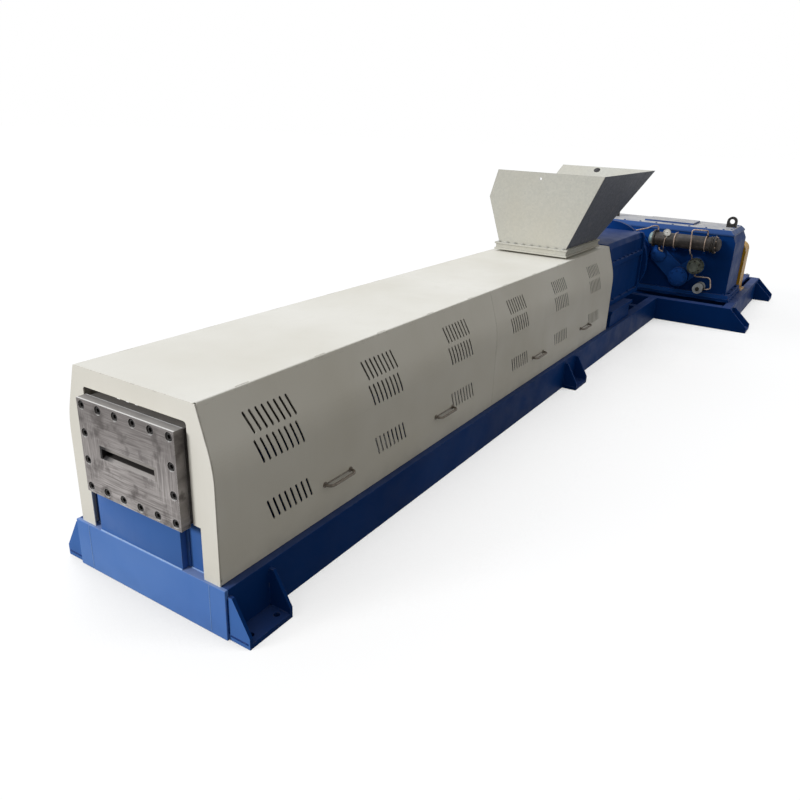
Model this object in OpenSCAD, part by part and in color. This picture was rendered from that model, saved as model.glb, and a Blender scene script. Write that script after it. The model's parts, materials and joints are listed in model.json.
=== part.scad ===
// Single-screw plastic extruder on a welded base.
// X runs from the die to the motor bed, Y to the left of the machine, Z up.
// The origin is on the floor, on the barrel's centre line, under the hood's front face.

/* [Base frame] */
// Height of every rail and beam
rail_h = 200; // [180:5:240]
// Flange width of the rails
rail_flange = 75; // [60:1:90]
// Web and flange thickness of the rails
rail_t = 10; // [8:1:14]
// Thickness of the front plate
front_plate_t = 16; // [12:1:24]
// How far the front plate stands in front of the hood
front_plate_lead = 10; // [5:1:11]
// Width of the front plate's top flange
front_lip_w = 60; // [40:1:65]
// Width of the cross members
cross_w = 80; // [60:5:110]
// Gap left for welding between a top flange and the rail beside it
weld_gap = 2; // [1:0.5:4]

/* [Feet] */
// Length of a rail foot along the rail
foot_len = 215; // [180:5:260]
// How far a rail foot reaches out from the rail
foot_out = 95; // [80:5:130]
// Thickness of the foot plates
foot_plate_t = 20; // [15:1:30]
// Thickness of the foot gussets
gusset_t = 14; // [10:1:20]
// Height of a gusset's outer tip above the floor
gusset_tip = 45; // [35:1:60]
// Distance from the rail top down to a gusset's top
gusset_drop = 25; // [15:1:50]
// Centre of the middle feet along the rail
mid_foot_x = 3250; // [3000:10:3400]
// Diameter of the anchor holes
anchor_d = 24; // [18:1:30]
// Distance between the two anchor holes of a foot
anchor_pitch = 130; // [110:5:140]

/* [Drive frame] */
// Gap between the coupling guard and the motor rails
motor_rail_gap = 14; // [10:1:60]
// Distance from the gearbox's right face to the drive frame's right face
drive_margin = 105; // [60:5:160]
// How far the drive frame's feet reach out
drive_foot_out = 160; // [120:5:180]
// Thickness of the drive frame's end plates
drive_plate_t = 16; // [12:1:24]
// Width of the top flange on the end plates
drive_flange = 80; // [60:5:110]
// Thickness of the gearbox bed
bed_t = 25; // [20:1:40]
// How far the gearbox bed reaches past the gearbox's feet
bed_margin = 10; // [5:1:20]
// Width of a motor rail
motor_rail_w = 110; // [90:5:140]
// Gap between a motor rail and the drive frame's rear plate
motor_rail_inset = 10; // [5:1:20]
// How far a motor rail lies on the beam at its front end
motor_rail_lap = 26; // [20:1:28]
// Thickness of a motor rail
motor_rail_t = 30; // [20:1:40]
// Length of a motor rail
motor_rail_len = 640; // [500:10:700]
// Distance between the two motor rails, centre to centre
motor_rail_gauge = 500; // [420:5:600]
// Width of the slots in the motor rails
motor_slot_w = 26; // [20:1:32]
// Length of the slots in the motor rails
motor_slot_len = 120; // [80:5:160]
// Distance between the two slots of one motor rail
motor_slot_pitch = 360; // [320:5:380]

/* [Hood] */
// Length of the hood
hood_len = 4100; // [4040:4:4140]
// Width of the flat top
hood_top_w = 600; // [560:5:640]
// How far the top's edge lies in from the upright side
top_inset = 65; // [60:1:75]
// How far the hood's sides stand in from the rails
hood_inset = 30; // [25:1:40]
// Height of the hood top above the barrel axis
hood_up = 276; // [265:1:300]
// Lean of the upper side from upright
side_lean = 17.2; // [14:0.1:18]
// Radius of the bend from the leaning to the upright side
bend_r = 440; // [350:5:480]
// Thickness of the hood sheet
sheet_t = 3; // [2:0.5:4]
// Thickness of the end panels
end_panel_t = 4; // [3:0.5:5]
// Running gap round the doors
door_gap = 6; // [5:0.5:8]
// Gap between a door and the rail below it
door_lift = 18; // [12:1:25]
// Width of the lip turned in along a door's lower edge
door_lip = 22; // [15:1:24]
// Height of the sill's upright above a door's lower edge
sill_h = 30; // [20:1:40]
// Depth of the frame inside the doors
frame_depth = 40; // [25:1:50]
// Gap between the die and the front opening's sides
die_side_gap = 14; // [10:1:30]
// Gap between the die and the front opening's top
die_top_gap = 24; // [16:1:30]
// How far the wide part of the front opening reaches above the die's underside
front_step = 14; // [8:1:40]
// Corner radius of the front opening
front_corner = 12; // [6:1:20]
// Gap between the feed section and the rear opening
rear_gap = 20; // [10:1:30]
// Gap between the two top sheets
top_seam = 2; // [1:0.5:4]
// Half width of the front opening below the die
front_low_y = 290; // [280:1:300]

/* [Door hinges] */
// Diameter of the rolled hinge edge
bead_d = 10; // [9:0.5:12]
// How far the rolled edge lies below the top
bead_drop = 0.2; // [0.1:0.1:0.5]
// Diameter of the hinge pins
pin_d = 5; // [4:0.5:6]
// Radial clearance of the hinge pins
pin_play = 0.05; // [0.03:0.01:0.1]
// Length of a door's hinge knuckle
knuckle_len = 60; // [40:2:90]
// End play of a knuckle in its notch
knuckle_play = 2; // [1.5:0.5:4]
// Number of knuckles on a door
knuckle_count = 5; // [3:1:7]
// Thickness of the hinge leaf inside the door
leaf_t = 2.5; // [2:0.5:3]
// Height of the hinge leaf
leaf_h = 40; // [30:1:60]

/* [Door vents] */
// Width of a vent slot
slot_w = 10; // [8:0.5:12]
// Distance between neighbouring slots
slot_pitch = 30; // [26:1:34]
// Number of slots in a row
slot_count = 8; // [6:1:9]
// Lean of the slots
slot_lean = 22; // [15:1:28]
// First vent group, from the door's front edge
vent_start = 165; // [120:5:200]
// Start of the last vent group, from the door's rear edge
vent_tail = 544; // [420:4:600]
// Number of vent groups on a door
vent_groups = 3; // [2:1:3]
// Upper end of each row of vents below the hood top
vent_tops = [78, 179, 422]; // [70:1:440]
// Lower end of each row of vents below the hood top
vent_ends = [161, 273, 509]; // [150:1:520]
// How far each row is set along the hood
vent_shifts = [0, 19, 62]; // [0:1:80]

/* [Door handles] */
// Length of a pull handle between its legs
handle_len = 165; // [140:5:200]
// How far a handle stands off the door
handle_out = 38; // [34:1:45]
// Diameter of the handle rod
handle_d = 12; // [10:0.5:14]
// Thickness of a handle's foot
handle_foot_t = 3; // [2:0.5:5]
// Height of the handles above the door's lower edge
handle_lift = 127; // [110:1:160]
// First handle, from the door's front edge
handle_start = 631; // [560:5:700]
// Second handle, from the door's rear edge
handle_tail = 549; // [480:1:620]

/* [Barrel and die] */
// Height of the barrel axis above the rails
axis_h = 366; // [360:1:375]
// Outside diameter of the barrel
barrel_d = 240; // [220:2:260]
// Bore of the barrel
bore_d = 150; // [140:1:160]
// Diameter of the barrel's front flange
barrel_flange_d = 340; // [330:2:344]
// Thickness of the barrel's front flange
barrel_flange_t = 50; // [40:1:60]
// Diameter of the screw
screw_d = 149; // [139:0.5:149.5]
// Root diameter of the screw
screw_root_d = 104; // [90:1:120]
// Thickness of the screw's flight
flight_t = 16; // [12:1:20]
// Distance between two turns of the flight
flight_pitch = 150; // [140:5:180]
// Outside diameter of the heater bands
heater_d = 310; // [290:2:330]
// Gap between the barrel's front flange and the first heater band
heater_lead = 95; // [70:1:120]
// Gap between heater bands
heater_gap = 70; // [60:1:90]
// Number of heater bands
heater_count = 6; // [4:1:6]
// Clearance between the barrel and what clasps it
barrel_seat = 0.3; // [0.1:0.1:0.5]
// Thickness of the barrel supports
support_t = 40; // [30:1:45]
// Width of a barrel support's foot
support_w = 320; // [300:5:400]
// Wall of a barrel support's ring
support_ring = 40; // [30:1:50]
// Half width of the front pedestal's middle plate
pedestal_half = 200; // [180:5:220]
// How far the front pedestal's wings stand back
pedestal_step = 30; // [20:1:40]
// Gap between the front pedestal and the front opening
pedestal_gap = 8; // [5:1:15]
// Width of the die plates
die_w = 486; // [480:1:500]
// Height of the die plates
die_h = 360; // [340:1:370]
// Thickness of the front die plate
die_front_t = 40; // [30:1:50]
// Thickness of the rear die plate
die_back_t = 45; // [40:1:60]
// How much the rear die plate is smaller all round
die_step = 6; // [4:1:10]
// Width of the die slot
die_slot_w = 268; // [240:2:280]
// Height of the die slot
die_slot_h = 28; // [22:1:36]
// Depth of the bevel round the die slot
die_bevel = 10; // [6:1:14]
// Diameter of the bolt counterbores in the die
die_bolt_d = 33; // [28:1:36]
// Depth of the bolt counterbores
die_bolt_depth = 14; // [10:1:20]
// Distance of the die bolts from the plate's edge
die_bolt_edge = 24; // [22:1:30]

/* [Feed and hopper] */
// Distance from the feed section to the hood's rear face
feed_tail = 140; // [120:2:160]
// Length of the feed section
feed_len = 560; // [540:5:600]
// Width of the feed section
feed_w = 400; // [360:5:440]
// Length of the feed throat
throat_len = 380; // [340:5:400]
// Width of the feed throat
throat_w = 200; // [160:5:220]
// Wall of the throat neck
neck_wall = 12; // [8:1:16]
// Gap between the throat neck and the hood's top sheet
neck_gap = 8; // [5:1:15]
// How far the hopper collar reaches in front of the feed section
collar_lead = 130; // [110:1:140]
// Length of the hopper collar
collar_len = 690; // [670:5:710]
// Width of the hopper collar
collar_w = 530; // [510:5:560]
// Height of the hopper collar
collar_h = 50; // [40:1:60]
// Thickness of the collar's floor
collar_floor = 12; // [8:1:16]
// Width of the collar's rim in front of and behind the hopper
collar_rim = 30; // [26:1:40]
// Width of the collar's rim beside the hopper
collar_side_rim = 20; // [14:1:24]
// How far the collar's waist stands in between its two flanges
collar_waist = 8; // [4:1:12]
// Gap between the hood top and the hopper collar
collar_gap = 12; // [8:1:30]
// Thickness of the hopper sheet
hopper_t = 4; // [3:0.5:6]
// Height of the hopper above its collar
hopper_h = 480; // [440:5:520]
// How far the hopper's right wall leans out
hopper_right_out = 200; // [160:5:220]
// How far the hopper's left wall leans out at its fold
hopper_left_out = 101; // [80:1:120]
// Height of the fold in the left wall above the collar
hopper_fold_h = 298; // [260:2:340]
// How far the left wall comes back in above the fold
hopper_left_in = 50; // [30:1:60]
// How far the hopper's rear wall leans back
hopper_back_out = 600; // [540:5:640]
// Diameter of the sight hole in the rear wall
sight_hole_d = 46; // [30:1:60]
// Diameter of the hook hole in the front wall
hook_hole_d = 16; // [10:1:20]
// Distance of the holes from the hopper's upper edge
hole_drop = 40; // [35:1:60]

/* [Feed housing] */
// Gap between the hood and the feed housing
housing_gap = 20; // [12:1:30]
// Length of the feed housing
housing_len = 990; // [900:5:1040]
// Width of the feed housing
housing_w = 624; // [600:2:640]
// Depth of the feed housing below the barrel axis
housing_down = 231; // [220:1:240]
// Height of the feed housing above the barrel axis
housing_up = 279; // [270:1:290]
// How far the housing's flanges stand out
housing_flange = 20; // [12:1:26]
// Thickness of the housing's flanges
housing_flange_t = 40; // [30:1:50]
// Height of the housing's parting line above the barrel axis
split_up = 114; // [100:1:130]
// Slope of the housing's upper corners
housing_corner = 40; // [24:1:60]
// Thickness of the pedestal's plates
pedestal_t = 25; // [20:1:30]
// How far the housing reaches past the pedestal at the rear
pedestal_tail = 400; // [340:5:460]
// Distance from the feed housing's front to the pedestal
pedestal_lead = 30; // [10:1:50]
// How far the pedestal's top plate stays in from the rails
pedestal_margin = 10; // [5:1:20]
// Gap between the thrust flange and the rails below it
flange_lift = 16; // [12:1:30]
// Thickness of the thrust flange
thrust_flange_t = 50; // [40:1:60]
// Length of the thrust housing
thrust_len = 740; // [700:5:800]
// Diameter of the thrust housing behind its flange
thrust_d = 560; // [500:5:600]
// Diameter of the thrust housing's neck
thrust_neck_d = 370; // [340:5:380]
// Length of the cone from the flange to the neck
thrust_cone_len = 260; // [200:5:320]
// Diameter of the neck's flange at the gearbox
neck_flange_d = 400; // [380:5:410]
// Thickness of the neck's flange
neck_flange_t = 36; // [24:1:40]

/* [Gearbox] */
// Distance from the drive frame's front face to the gearbox
gear_setback = 286; // [260:2:320]
// Depth of the gearbox along the machine
gear_depth = 600; // [560:5:660]
// Distance from the barrel axis to the gearbox's right face
gear_right = 940; // [900:5:980]
// Distance from the barrel axis to the gearbox's left face
gear_left = 360; // [340:5:380]
// Height of the gearbox above its bed
gear_h = 570; // [560:1:600]
// Thickness of the gearbox's foot flange
gear_foot_t = 35; // [28:1:45]
// How far the gearbox's foot flange stands out
gear_foot_out = 30; // [20:1:40]
// Slope of the gearbox's upper right corner
gear_corner = 60; // [40:2:80]
// Diameter of the rear bearing cover
rear_cover_d = 320; // [280:5:360]
// Thickness of the rear bearing cover
rear_cover_t = 28; // [20:1:36]
// Thickness of the gearbox lid
lid_t = 50; // [40:1:60]
// Thickness of the lid's flange below its slopes
lid_flange_t = 16; // [12:1:24]
// Run of the slopes round the lid's top
lid_slope = 36; // [20:1:45]
// How far the lid stands out round the gearbox
lid_lip = 8; // [5:1:15]
// Length of the inspection cover on the lid
hatch_len = 300; // [240:5:360]
// Width of the inspection cover on the lid
hatch_w = 460; // [380:5:520]
// Thickness of the inspection cover
hatch_t = 18; // [12:1:24]
// Distance of the input shaft from the barrel axis
input_y = 640; // [600:5:680]
// Diameter of the input shaft
input_d = 85; // [70:1:100]
// Length of the input shaft's free end
input_len = 170; // [140:5:200]
// Thickness of the input shaft's seal cover
seal_cover_t = 30; // [20:1:40]
// Diameter of the input shaft's seal cover
seal_cover_d = 170; // [150:2:200]
// Distance of the lower bearing boss from the barrel axis
boss_y = 505; // [495:1:515]
// Height of the lower bearing boss above the bed
boss_up = 160; // [150:1:170]
// Diameter of the lower bearing boss
boss_d = 180; // [160:5:190]
// How far the lower bearing boss stands out
boss_out = 90; // [60:5:120]
// How far the two arms of the boss stand out
arm_out = 30; // [20:1:32]
// Height of the left arm's upper end above the bed
left_arm_up = 335; // [320:1:340]
// Radius of the left arm's upper end
left_arm_r = 80; // [65:1:82]
// Distance of the lugs from the lid's slopes
lug_margin = 3; // [2:1:40]
// Thickness of a lifting lug
lug_t = 30; // [24:1:40]
// Width of a lifting lug
lug_w = 90; // [80:2:110]
// Height of a lifting lug's hole above the lid
lug_hole_z = 54; // [45:1:70]
// Diameter of the hole in a lifting lug
lug_hole_d = 45; // [36:1:50]

/* [Oil unit] */
// Diameter of the oil cooler
cooler_d = 128; // [110:2:140]
// Length of the oil cooler's shell
cooler_len = 560; // [500:5:600]
// Gap between the cooler's left cap and the thrust housing's neck
cooler_gap = 5; // [5:1:20]
// Distance of the cooler's axis below the gearbox lid
cooler_drop = 73; // [68:1:80]
// Distance of the cooler's axis from the gearbox face
cooler_off = 112; // [108:1:130]
// Length of a cooler end cap
cooler_cap_len = 45; // [35:1:60]
// Diameter of a cooler end cap's rim
cooler_cap_d = 116; // [100:2:126]
// Diameter of the cooler's end flanges
cooler_flange_d = 160; // [148:2:170]
// Thickness of the cooler's end flanges
cooler_flange_t = 14; // [10:1:20]
// Width of a cooler saddle
saddle_w = 30; // [24:1:40]
// Distance of the left saddle from the cooler's left flange
saddle_lead = 200; // [150:5:220]
// Distance of the right saddle from the cooler's right flange
saddle_tail = 90; // [60:5:110]
// Height of a cooler saddle below the cooler
saddle_drop = 30; // [20:1:34]
// Diameter of the oil pump
pump_d = 130; // [110:2:150]
// Length of the oil pump
pump_len = 130; // [100:5:150]
// Diameter of the oil pump's mounting flange
pump_flange_d = 150; // [140:2:156]
// Thickness of the oil pump's mounting flange
pump_flange_t = 18; // [12:1:24]
// Diameter of the oil pump's rear cover
pump_cover_d = 80; // [60:2:100]
// Length of the oil pump's rear cover
pump_cover_len = 50; // [40:1:60]
// Distance of the oil pump to the right of the barrel's axis
pump_y = 640; // [636:1:680]
// Height of the oil pump above the bed
pump_up = 275; // [260:1:300]
// Diameter of the oil filter
filter_d = 90; // [80:2:110]
// Length of the oil filter
filter_len = 150; // [120:5:180]
// Distance of the oil filter to the right of the input shaft
filter_aside = 70; // [60:1:100]
// Height of the oil filter above the bed
filter_up = 85; // [82:1:110]

/* [Coupling guard] */
// Length of the coupling guard
guard_len = 220; // [200:5:230]
// Gap between the gearbox and the coupling guard
guard_gap = 50; // [45:1:60]
// Width of the coupling guard
guard_w = 640; // [560:5:680]
// Radius of the guard's upper corners
guard_corner = 80; // [60:5:140]
// Height of the coupling guard's straight sides
guard_h = 470; // [440:5:500]
// Thickness of the guard sheet
guard_t = 4; // [3:0.5:6]
// Width of the guard's feet
guard_foot = 30; // [20:1:36]

/* [Hidden] */
$fn = 48;
cut = 1;
arc_steps = 8;
flight_steps = 8;
root_steps = 12;
flight_clear = 1;

half_top = hood_top_w / 2;
half_side = half_top + top_inset;
half_base = half_side + hood_inset;
base_w = 2 * half_base;
axis_z = rail_h + axis_h;
rail_x0 = front_plate_t - front_plate_lead;

hood_top_z = axis_z + hood_up;
door_low_z = rail_h + door_lift;
slope_run = top_inset - bend_r * (1 - cos(side_lean));
bend_top_z = hood_top_z - slope_run / tan(side_lean);
bend_z = bend_top_z - bend_r * sin(side_lean);
seam_x = hood_len / 2;
door_x0 = end_panel_t + door_gap;
door_len = seam_x - door_gap / 2 - door_x0;
rear_door_x0 = seam_x + door_gap / 2;
bead_y = half_top - bead_d / 2;
bead_z = hood_top_z - bead_d / 2 - bead_drop;
door_top_z = bead_z - bead_d / 2 - door_gap / sqrt(2);
knuckle_pitch = door_len / knuckle_count;
frame_off = sheet_t + door_gap;
lip_inset = frame_depth + door_gap;
vent_pitch = (door_len - vent_start - vent_tail) / (vent_groups - 1);
handle_pitch = door_len - handle_start - handle_tail;

feed_x = hood_len - feed_tail - feed_len;
barrel_x0 = die_back_t;
barrel_len = feed_x - barrel_x0;
heater_x0 = barrel_x0 + barrel_flange_t + heater_lead;
heater_pitch = (feed_x - heater_x0) / heater_count;
heater_len = heater_pitch - heater_gap;
support_gaps = [0, 2, 4];
pedestal_top_z = axis_z - die_h / 2 - die_step;
throat_x0 = feed_x + (feed_len - throat_len) / 2;
collar_x = feed_x - collar_lead;
collar_z0 = hood_top_z + collar_gap;
hopper_z0 = collar_z0 + collar_h;
hopper_x0 = collar_x + collar_rim;
hopper_back_x = collar_x + collar_len - collar_rim;
hopper_half = collar_w / 2 - collar_side_rim;
hopper_reach = hopper_back_x - hopper_x0 + 2 * hopper_back_out;
back_lean = atan(hopper_back_out / hopper_h);

housing_x0 = hood_len + housing_gap;
housing_x1 = housing_x0 + housing_len;
pedestal_len = housing_len - pedestal_lead - pedestal_tail;
housing_low_z = axis_z - housing_down;
housing_top_z = axis_z + housing_up;
thrust_flange_d = 2 * (axis_h - flange_lift);
gear_x0 = housing_x1 + thrust_len;
gear_x1 = gear_x0 + gear_depth;
gear_z0 = rail_h + bed_t;
gear_z1 = gear_z0 + gear_h;
lid_z1 = gear_z1 + lid_t;
lid_right = gear_right - gear_corner / 2 + lid_lip;
lug_off = lid_slope + lug_margin + lug_w / 2;
cooler_x = gear_x0 - cooler_off;
cooler_y = thrust_neck_d / 2 + cooler_gap + cooler_cap_len;
cooler_z = gear_z1 - cooler_drop;
arm_gap = 10;
arm_shy = 3;
left_arm_y = neck_flange_d / 2 + arm_gap + left_arm_r;
pump_pad_r = (pump_flange_d + arm_gap) / 2;

base_len = gear_x0 - gear_setback;
rail_len = base_len - rail_x0;
drive_left = half_base;
drive_right = gear_right + drive_margin;
motor_rail_x0 = gear_x1 + guard_gap + guard_len + motor_rail_gap;
drive_x1 = motor_rail_x0 + motor_rail_len + motor_rail_inset + drive_plate_t;
drive_len = drive_x1 - base_len;
drive_inner_x0 = base_len + drive_plate_t;
drive_inner_len = drive_len - 2 * drive_plate_t;
motor_beam_x = motor_rail_x0 + motor_rail_lap - cross_w / 2;

CREAM = [0.86, 0.85, 0.79];
BLUE = [0.09, 0.25, 0.53];
STEEL = [0.55, 0.56, 0.57];
DARK = [0.25, 0.27, 0.27];
SHEET = [0.72, 0.73, 0.73];
YELLOW = [0.87, 0.65, 0.08];

// Draws a Y-Z outline as a bar of the given length along X
module along_x(len) {
  rotate([90, 0, 90]) linear_extrude(len) children();
}

// Draws an X-Z outline as a bar of the given length along Y
module along_y(len) {
  translate([0, len, 0]) rotate([90, 0, 0]) linear_extrude(len) children();
}

module rod_x(d, len) {
  rotate([0, 90, 0]) cylinder(d = d, h = len);
}

module rod_y(d, len) {
  rotate([-90, 0, 0]) cylinder(d = d, h = len);
}

// Places children as drawn and again mirrored to the right side
module both_sides() {
  children();
  mirror([0, 1, 0]) children();
}

// Outline of a channel that opens towards lower Y
module channel_outline() {
  difference() {
    translate([-rail_flange, 0]) square([rail_flange, rail_h]);
    translate([-rail_flange - cut, rail_t])
      square([rail_flange - rail_t + cut, rail_h - 2 * rail_t]);
  }
}

// Base frame

module left_rail() {
  color(BLUE) translate([rail_x0, half_base, 0])
    along_x(rail_len) channel_outline();
}

module right_rail() {
  mirror([0, 1, 0]) left_rail();
}

module front_plate() {
  lip_half = half_base - rail_flange - weld_gap;
  color(BLUE) {
    translate([-front_plate_lead, -half_base, 0])
      cube([front_plate_t, base_w, rail_h]);
    translate([rail_x0 - cut, -lip_half, rail_h - rail_t])
      cube([front_lip_w + cut, 2 * lip_half, rail_t]);
  }
}

// Middle of the gap behind a heater band
function support_x(gap) = heater_x0 + (gap + 1) * heater_pitch - heater_gap / 2;

function cross_xs() = concat(
  [for (gap = support_gaps) support_x(gap)],
  [feed_x + feed_len / 2, housing_x0 + housing_len / 2, housing_x1]
);

// Section of a cross member, open below
module cross_outline() {
  translate([-cross_w / 2, 0]) difference() {
    square([cross_w, rail_h]);
    translate([rail_t, -cut]) square([cross_w - 2 * rail_t, rail_h - rail_t + cut]);
  }
}

module cross_members() {
  inner = base_w - 2 * rail_flange;
  color(BLUE) for (x = cross_xs())
    translate([x, -inner / 2, 0]) along_y(inner) cross_outline();
}

// A gusset that stands on a foot plate, its upright edge on the plane Y = 0
module gusset(out) {
  along_x(gusset_t) polygon([
    [0, 0], [out, 0], [out, gusset_tip],
    [foot_plate_t, rail_h - gusset_drop], [0, rail_h - gusset_drop]
  ]);
}

// One foot on the left of a rail: a plate on the floor and two gussets
module foot(len, out) {
  difference() {
    union() {
      cube([len, out, foot_plate_t]);
      for (x = [0, len - gusset_t]) translate([x, 0, 0]) gusset(out);
    }
    for (side = [-1, 1])
      translate([(len + side * anchor_pitch) / 2, (out + foot_plate_t) / 2, -cut])
        cylinder(d = anchor_d, h = foot_plate_t + 2 * cut);
  }
}

module rail_feet() {
  color(BLUE) both_sides() for (x = [0, mid_foot_x - foot_len / 2])
    translate([x, half_base, 0]) foot(foot_len, foot_out);
}

// Drive frame

module drive_end_plate() {
  along_x(drive_plate_t) polygon([
    [-drive_right - drive_foot_out, 0], [drive_left + drive_foot_out, 0],
    [drive_left + drive_foot_out, gusset_tip], [drive_left, rail_h],
    [-drive_right, rail_h], [-drive_right - drive_foot_out, gusset_tip]
  ]);
}

module drive_end_beams() {
  flange_off = rail_flange + weld_gap;
  flange_y0 = -drive_right + flange_off;
  flange_len = drive_right + drive_left - 2 * flange_off;
  color(BLUE) {
    translate([base_len, 0, 0]) drive_end_plate();
    translate([drive_inner_x0 - cut, flange_y0, rail_h - rail_t])
      cube([drive_flange + cut, flange_len, rail_t]);
    translate([drive_x1 - drive_plate_t, 0, 0]) drive_end_plate();
    translate([drive_x1 - drive_plate_t - drive_flange, flange_y0, rail_h - rail_t])
      cube([drive_flange + cut, flange_len, rail_t]);
  }
}

module drive_side_rails() {
  color(BLUE) {
    translate([drive_inner_x0, drive_left, 0])
      along_x(drive_inner_len) channel_outline();
    translate([drive_inner_x0, -drive_right, 0])
      along_x(drive_inner_len) mirror([1, 0]) channel_outline();
  }
}

module drive_mid_beams() {
  y0 = -drive_right + rail_flange;
  len = drive_right + drive_left - 2 * rail_flange;
  color(BLUE) for (x = [gear_x0 + cross_w, gear_x1 - cross_w, motor_beam_x])
    translate([x, y0, 0]) along_y(len) cross_outline();
}

// Foot plate and inner gusset that stiffen one corner of the drive frame
module drive_foot() {
  along = foot_len - drive_plate_t;
  difference() {
    union() {
      cube([along, drive_foot_out, foot_plate_t]);
      translate([along - gusset_t, 0, 0]) gusset(drive_foot_out);
    }
    translate([along / 2, (drive_foot_out + foot_plate_t) / 2, -cut])
      cylinder(d = anchor_d, h = foot_plate_t + 2 * cut);
  }
}

module drive_feet() {
  color(BLUE) {
    translate([drive_inner_x0, drive_left, 0]) drive_foot();
    translate([drive_inner_x0, -drive_right, 0]) mirror([0, 1, 0]) drive_foot();
    translate([drive_x1 - drive_plate_t, drive_left, 0])
      mirror([1, 0, 0]) drive_foot();
    translate([drive_x1 - drive_plate_t, -drive_right, 0])
      mirror([1, 0, 0]) mirror([0, 1, 0]) drive_foot();
  }
}

module gearbox_bed() {
  margin = gear_foot_out + bed_margin;
  color(BLUE) translate([gear_x0 - margin, -gear_right - margin, rail_h])
    cube([gear_depth + 2 * margin, gear_left + gear_right + margin + bed_margin, bed_t]);
}

// A slot with round ends, its long side along X
module slot_outline(len, w) {
  union() {
    square([len - w, w], center = true);
    for (side = [-1, 1]) translate([side * (len - w) / 2, 0]) circle(d = w);
  }
}

module motor_rails() {
  color(BLUE) for (side = [-1, 1])
    translate([motor_rail_x0, -input_y + side * motor_rail_gauge / 2, rail_h])
      difference() {
        translate([0, -motor_rail_w / 2, 0])
          cube([motor_rail_len, motor_rail_w, motor_rail_t]);
        for (end = [-1, 1])
          translate([(motor_rail_len + end * motor_slot_pitch) / 2, 0, -cut])
            linear_extrude(motor_rail_t + 2 * cut)
              slot_outline(motor_slot_len, motor_slot_w);
      }
}

// Barrel, screw and die

module barrel() {
  color(STEEL) translate([barrel_x0, 0, axis_z]) difference() {
    union() {
      rod_x(barrel_flange_d, barrel_flange_t);
      rod_x(barrel_d, barrel_len);
    }
    translate([-cut, 0, 0]) rod_x(bore_d, barrel_len + 2 * cut);
  }
}

// Section of the screw in the feed zone: its root and one flight
module flight_outline() {
  root_r = screw_root_d / 2 - flight_clear;
  tip_r = screw_d / 2 - flight_clear;
  half_angle = 180 * flight_t / flight_pitch;
  root_turn = (360 - 2 * half_angle) / root_steps;
  polygon(concat(
    [for (i = [-2 : 2]) tip_r * [cos(i * half_angle / 2), sin(i * half_angle / 2)]],
    [for (i = [0 : root_steps]) let (a = half_angle + i * root_turn)
      root_r * [cos(a), sin(a)]]
  ));
}

// The flight is drawn where the feed throat shows it
module screw() {
  tip_len = screw_root_d;
  x0 = barrel_x0 + barrel_flange_t;
  turns = feed_len / flight_pitch;
  color(STEEL) translate([0, 0, axis_z]) {
    translate([x0, 0, 0]) rotate([0, 90, 0])
      cylinder(d1 = screw_root_d / 4, d2 = screw_root_d, h = tip_len);
    translate([x0 + tip_len, 0, 0]) rod_x(screw_root_d, feed_x - x0 - tip_len);
    translate([feed_x, 0, 0]) rotate([0, 90, 0])
      linear_extrude(feed_len, twist = -360 * turns, slices = ceil(turns * flight_steps))
        flight_outline();
    translate([feed_x + feed_len, 0, 0]) rod_x(screw_d, feed_tail + housing_gap);
  }
}

module heater_bands() {
  color(STEEL) for (band = [0 : heater_count - 1])
    translate([heater_x0 + band * heater_pitch, 0, axis_z]) difference() {
      rod_x(heater_d, heater_len);
      translate([-cut, 0, 0])
        rod_x(barrel_d + 2 * barrel_seat, heater_len + 2 * cut);
    }
}

module barrel_supports() {
  ring_r = barrel_d / 2 + support_ring;
  shoulder = ring_r - support_ring / 4;
  color(BLUE) for (gap = support_gaps)
    translate([support_x(gap) - support_t / 2, 0, axis_z]) along_x(support_t)
      difference() {
        union() {
          circle(ring_r);
          polygon([
            [-support_w / 2, -axis_h], [support_w / 2, -axis_h], [shoulder, 0], [-shoulder, 0]
          ]);
        }
        circle(d = barrel_d + 2 * barrel_seat);
      }
}

// Stepped plate below the die, with a cradle behind it for the barrel's flange
module front_pedestal() {
  face_x = barrel_x0 - pedestal_t + 2 * cut;
  half_w = half_base - rail_flange - pedestal_step;
  h = pedestal_top_z - rail_h;
  wing = half_w - pedestal_half;
  color(BLUE) difference() {
    translate([face_x, 0, rail_h]) {
      translate([0, -pedestal_half, 0]) cube([pedestal_t, 2 * pedestal_half, h]);
      both_sides() {
        translate([0, pedestal_half - pedestal_t, 0])
          cube([pedestal_step + pedestal_t, pedestal_t, h]);
        translate([pedestal_step, pedestal_half - cut, 0])
          cube([pedestal_t, wing - pedestal_gap + cut, h]);
      }
      translate([pedestal_t - cut, -pedestal_half, 0])
        cube([barrel_flange_t - cut, 2 * pedestal_half, axis_h - barrel_flange_d / 4]);
    }
    translate([face_x, 0, axis_z])
      rod_x(barrel_flange_d + 2 * barrel_seat, barrel_flange_t + pedestal_t + cut);
  }
}

function die_bolts() = concat(
  [for (col = [0 : 5], row = [-1, 1])
    [(col / 5 - 0.5) * (die_w - 2 * die_bolt_edge), row * (die_h / 2 - die_bolt_edge)]],
  [for (col = [-1, 1], row = [-1, 1])
    [col * (die_w / 2 - die_bolt_edge), row * (die_h - 2 * die_bolt_edge) / 6]]
);

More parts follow.
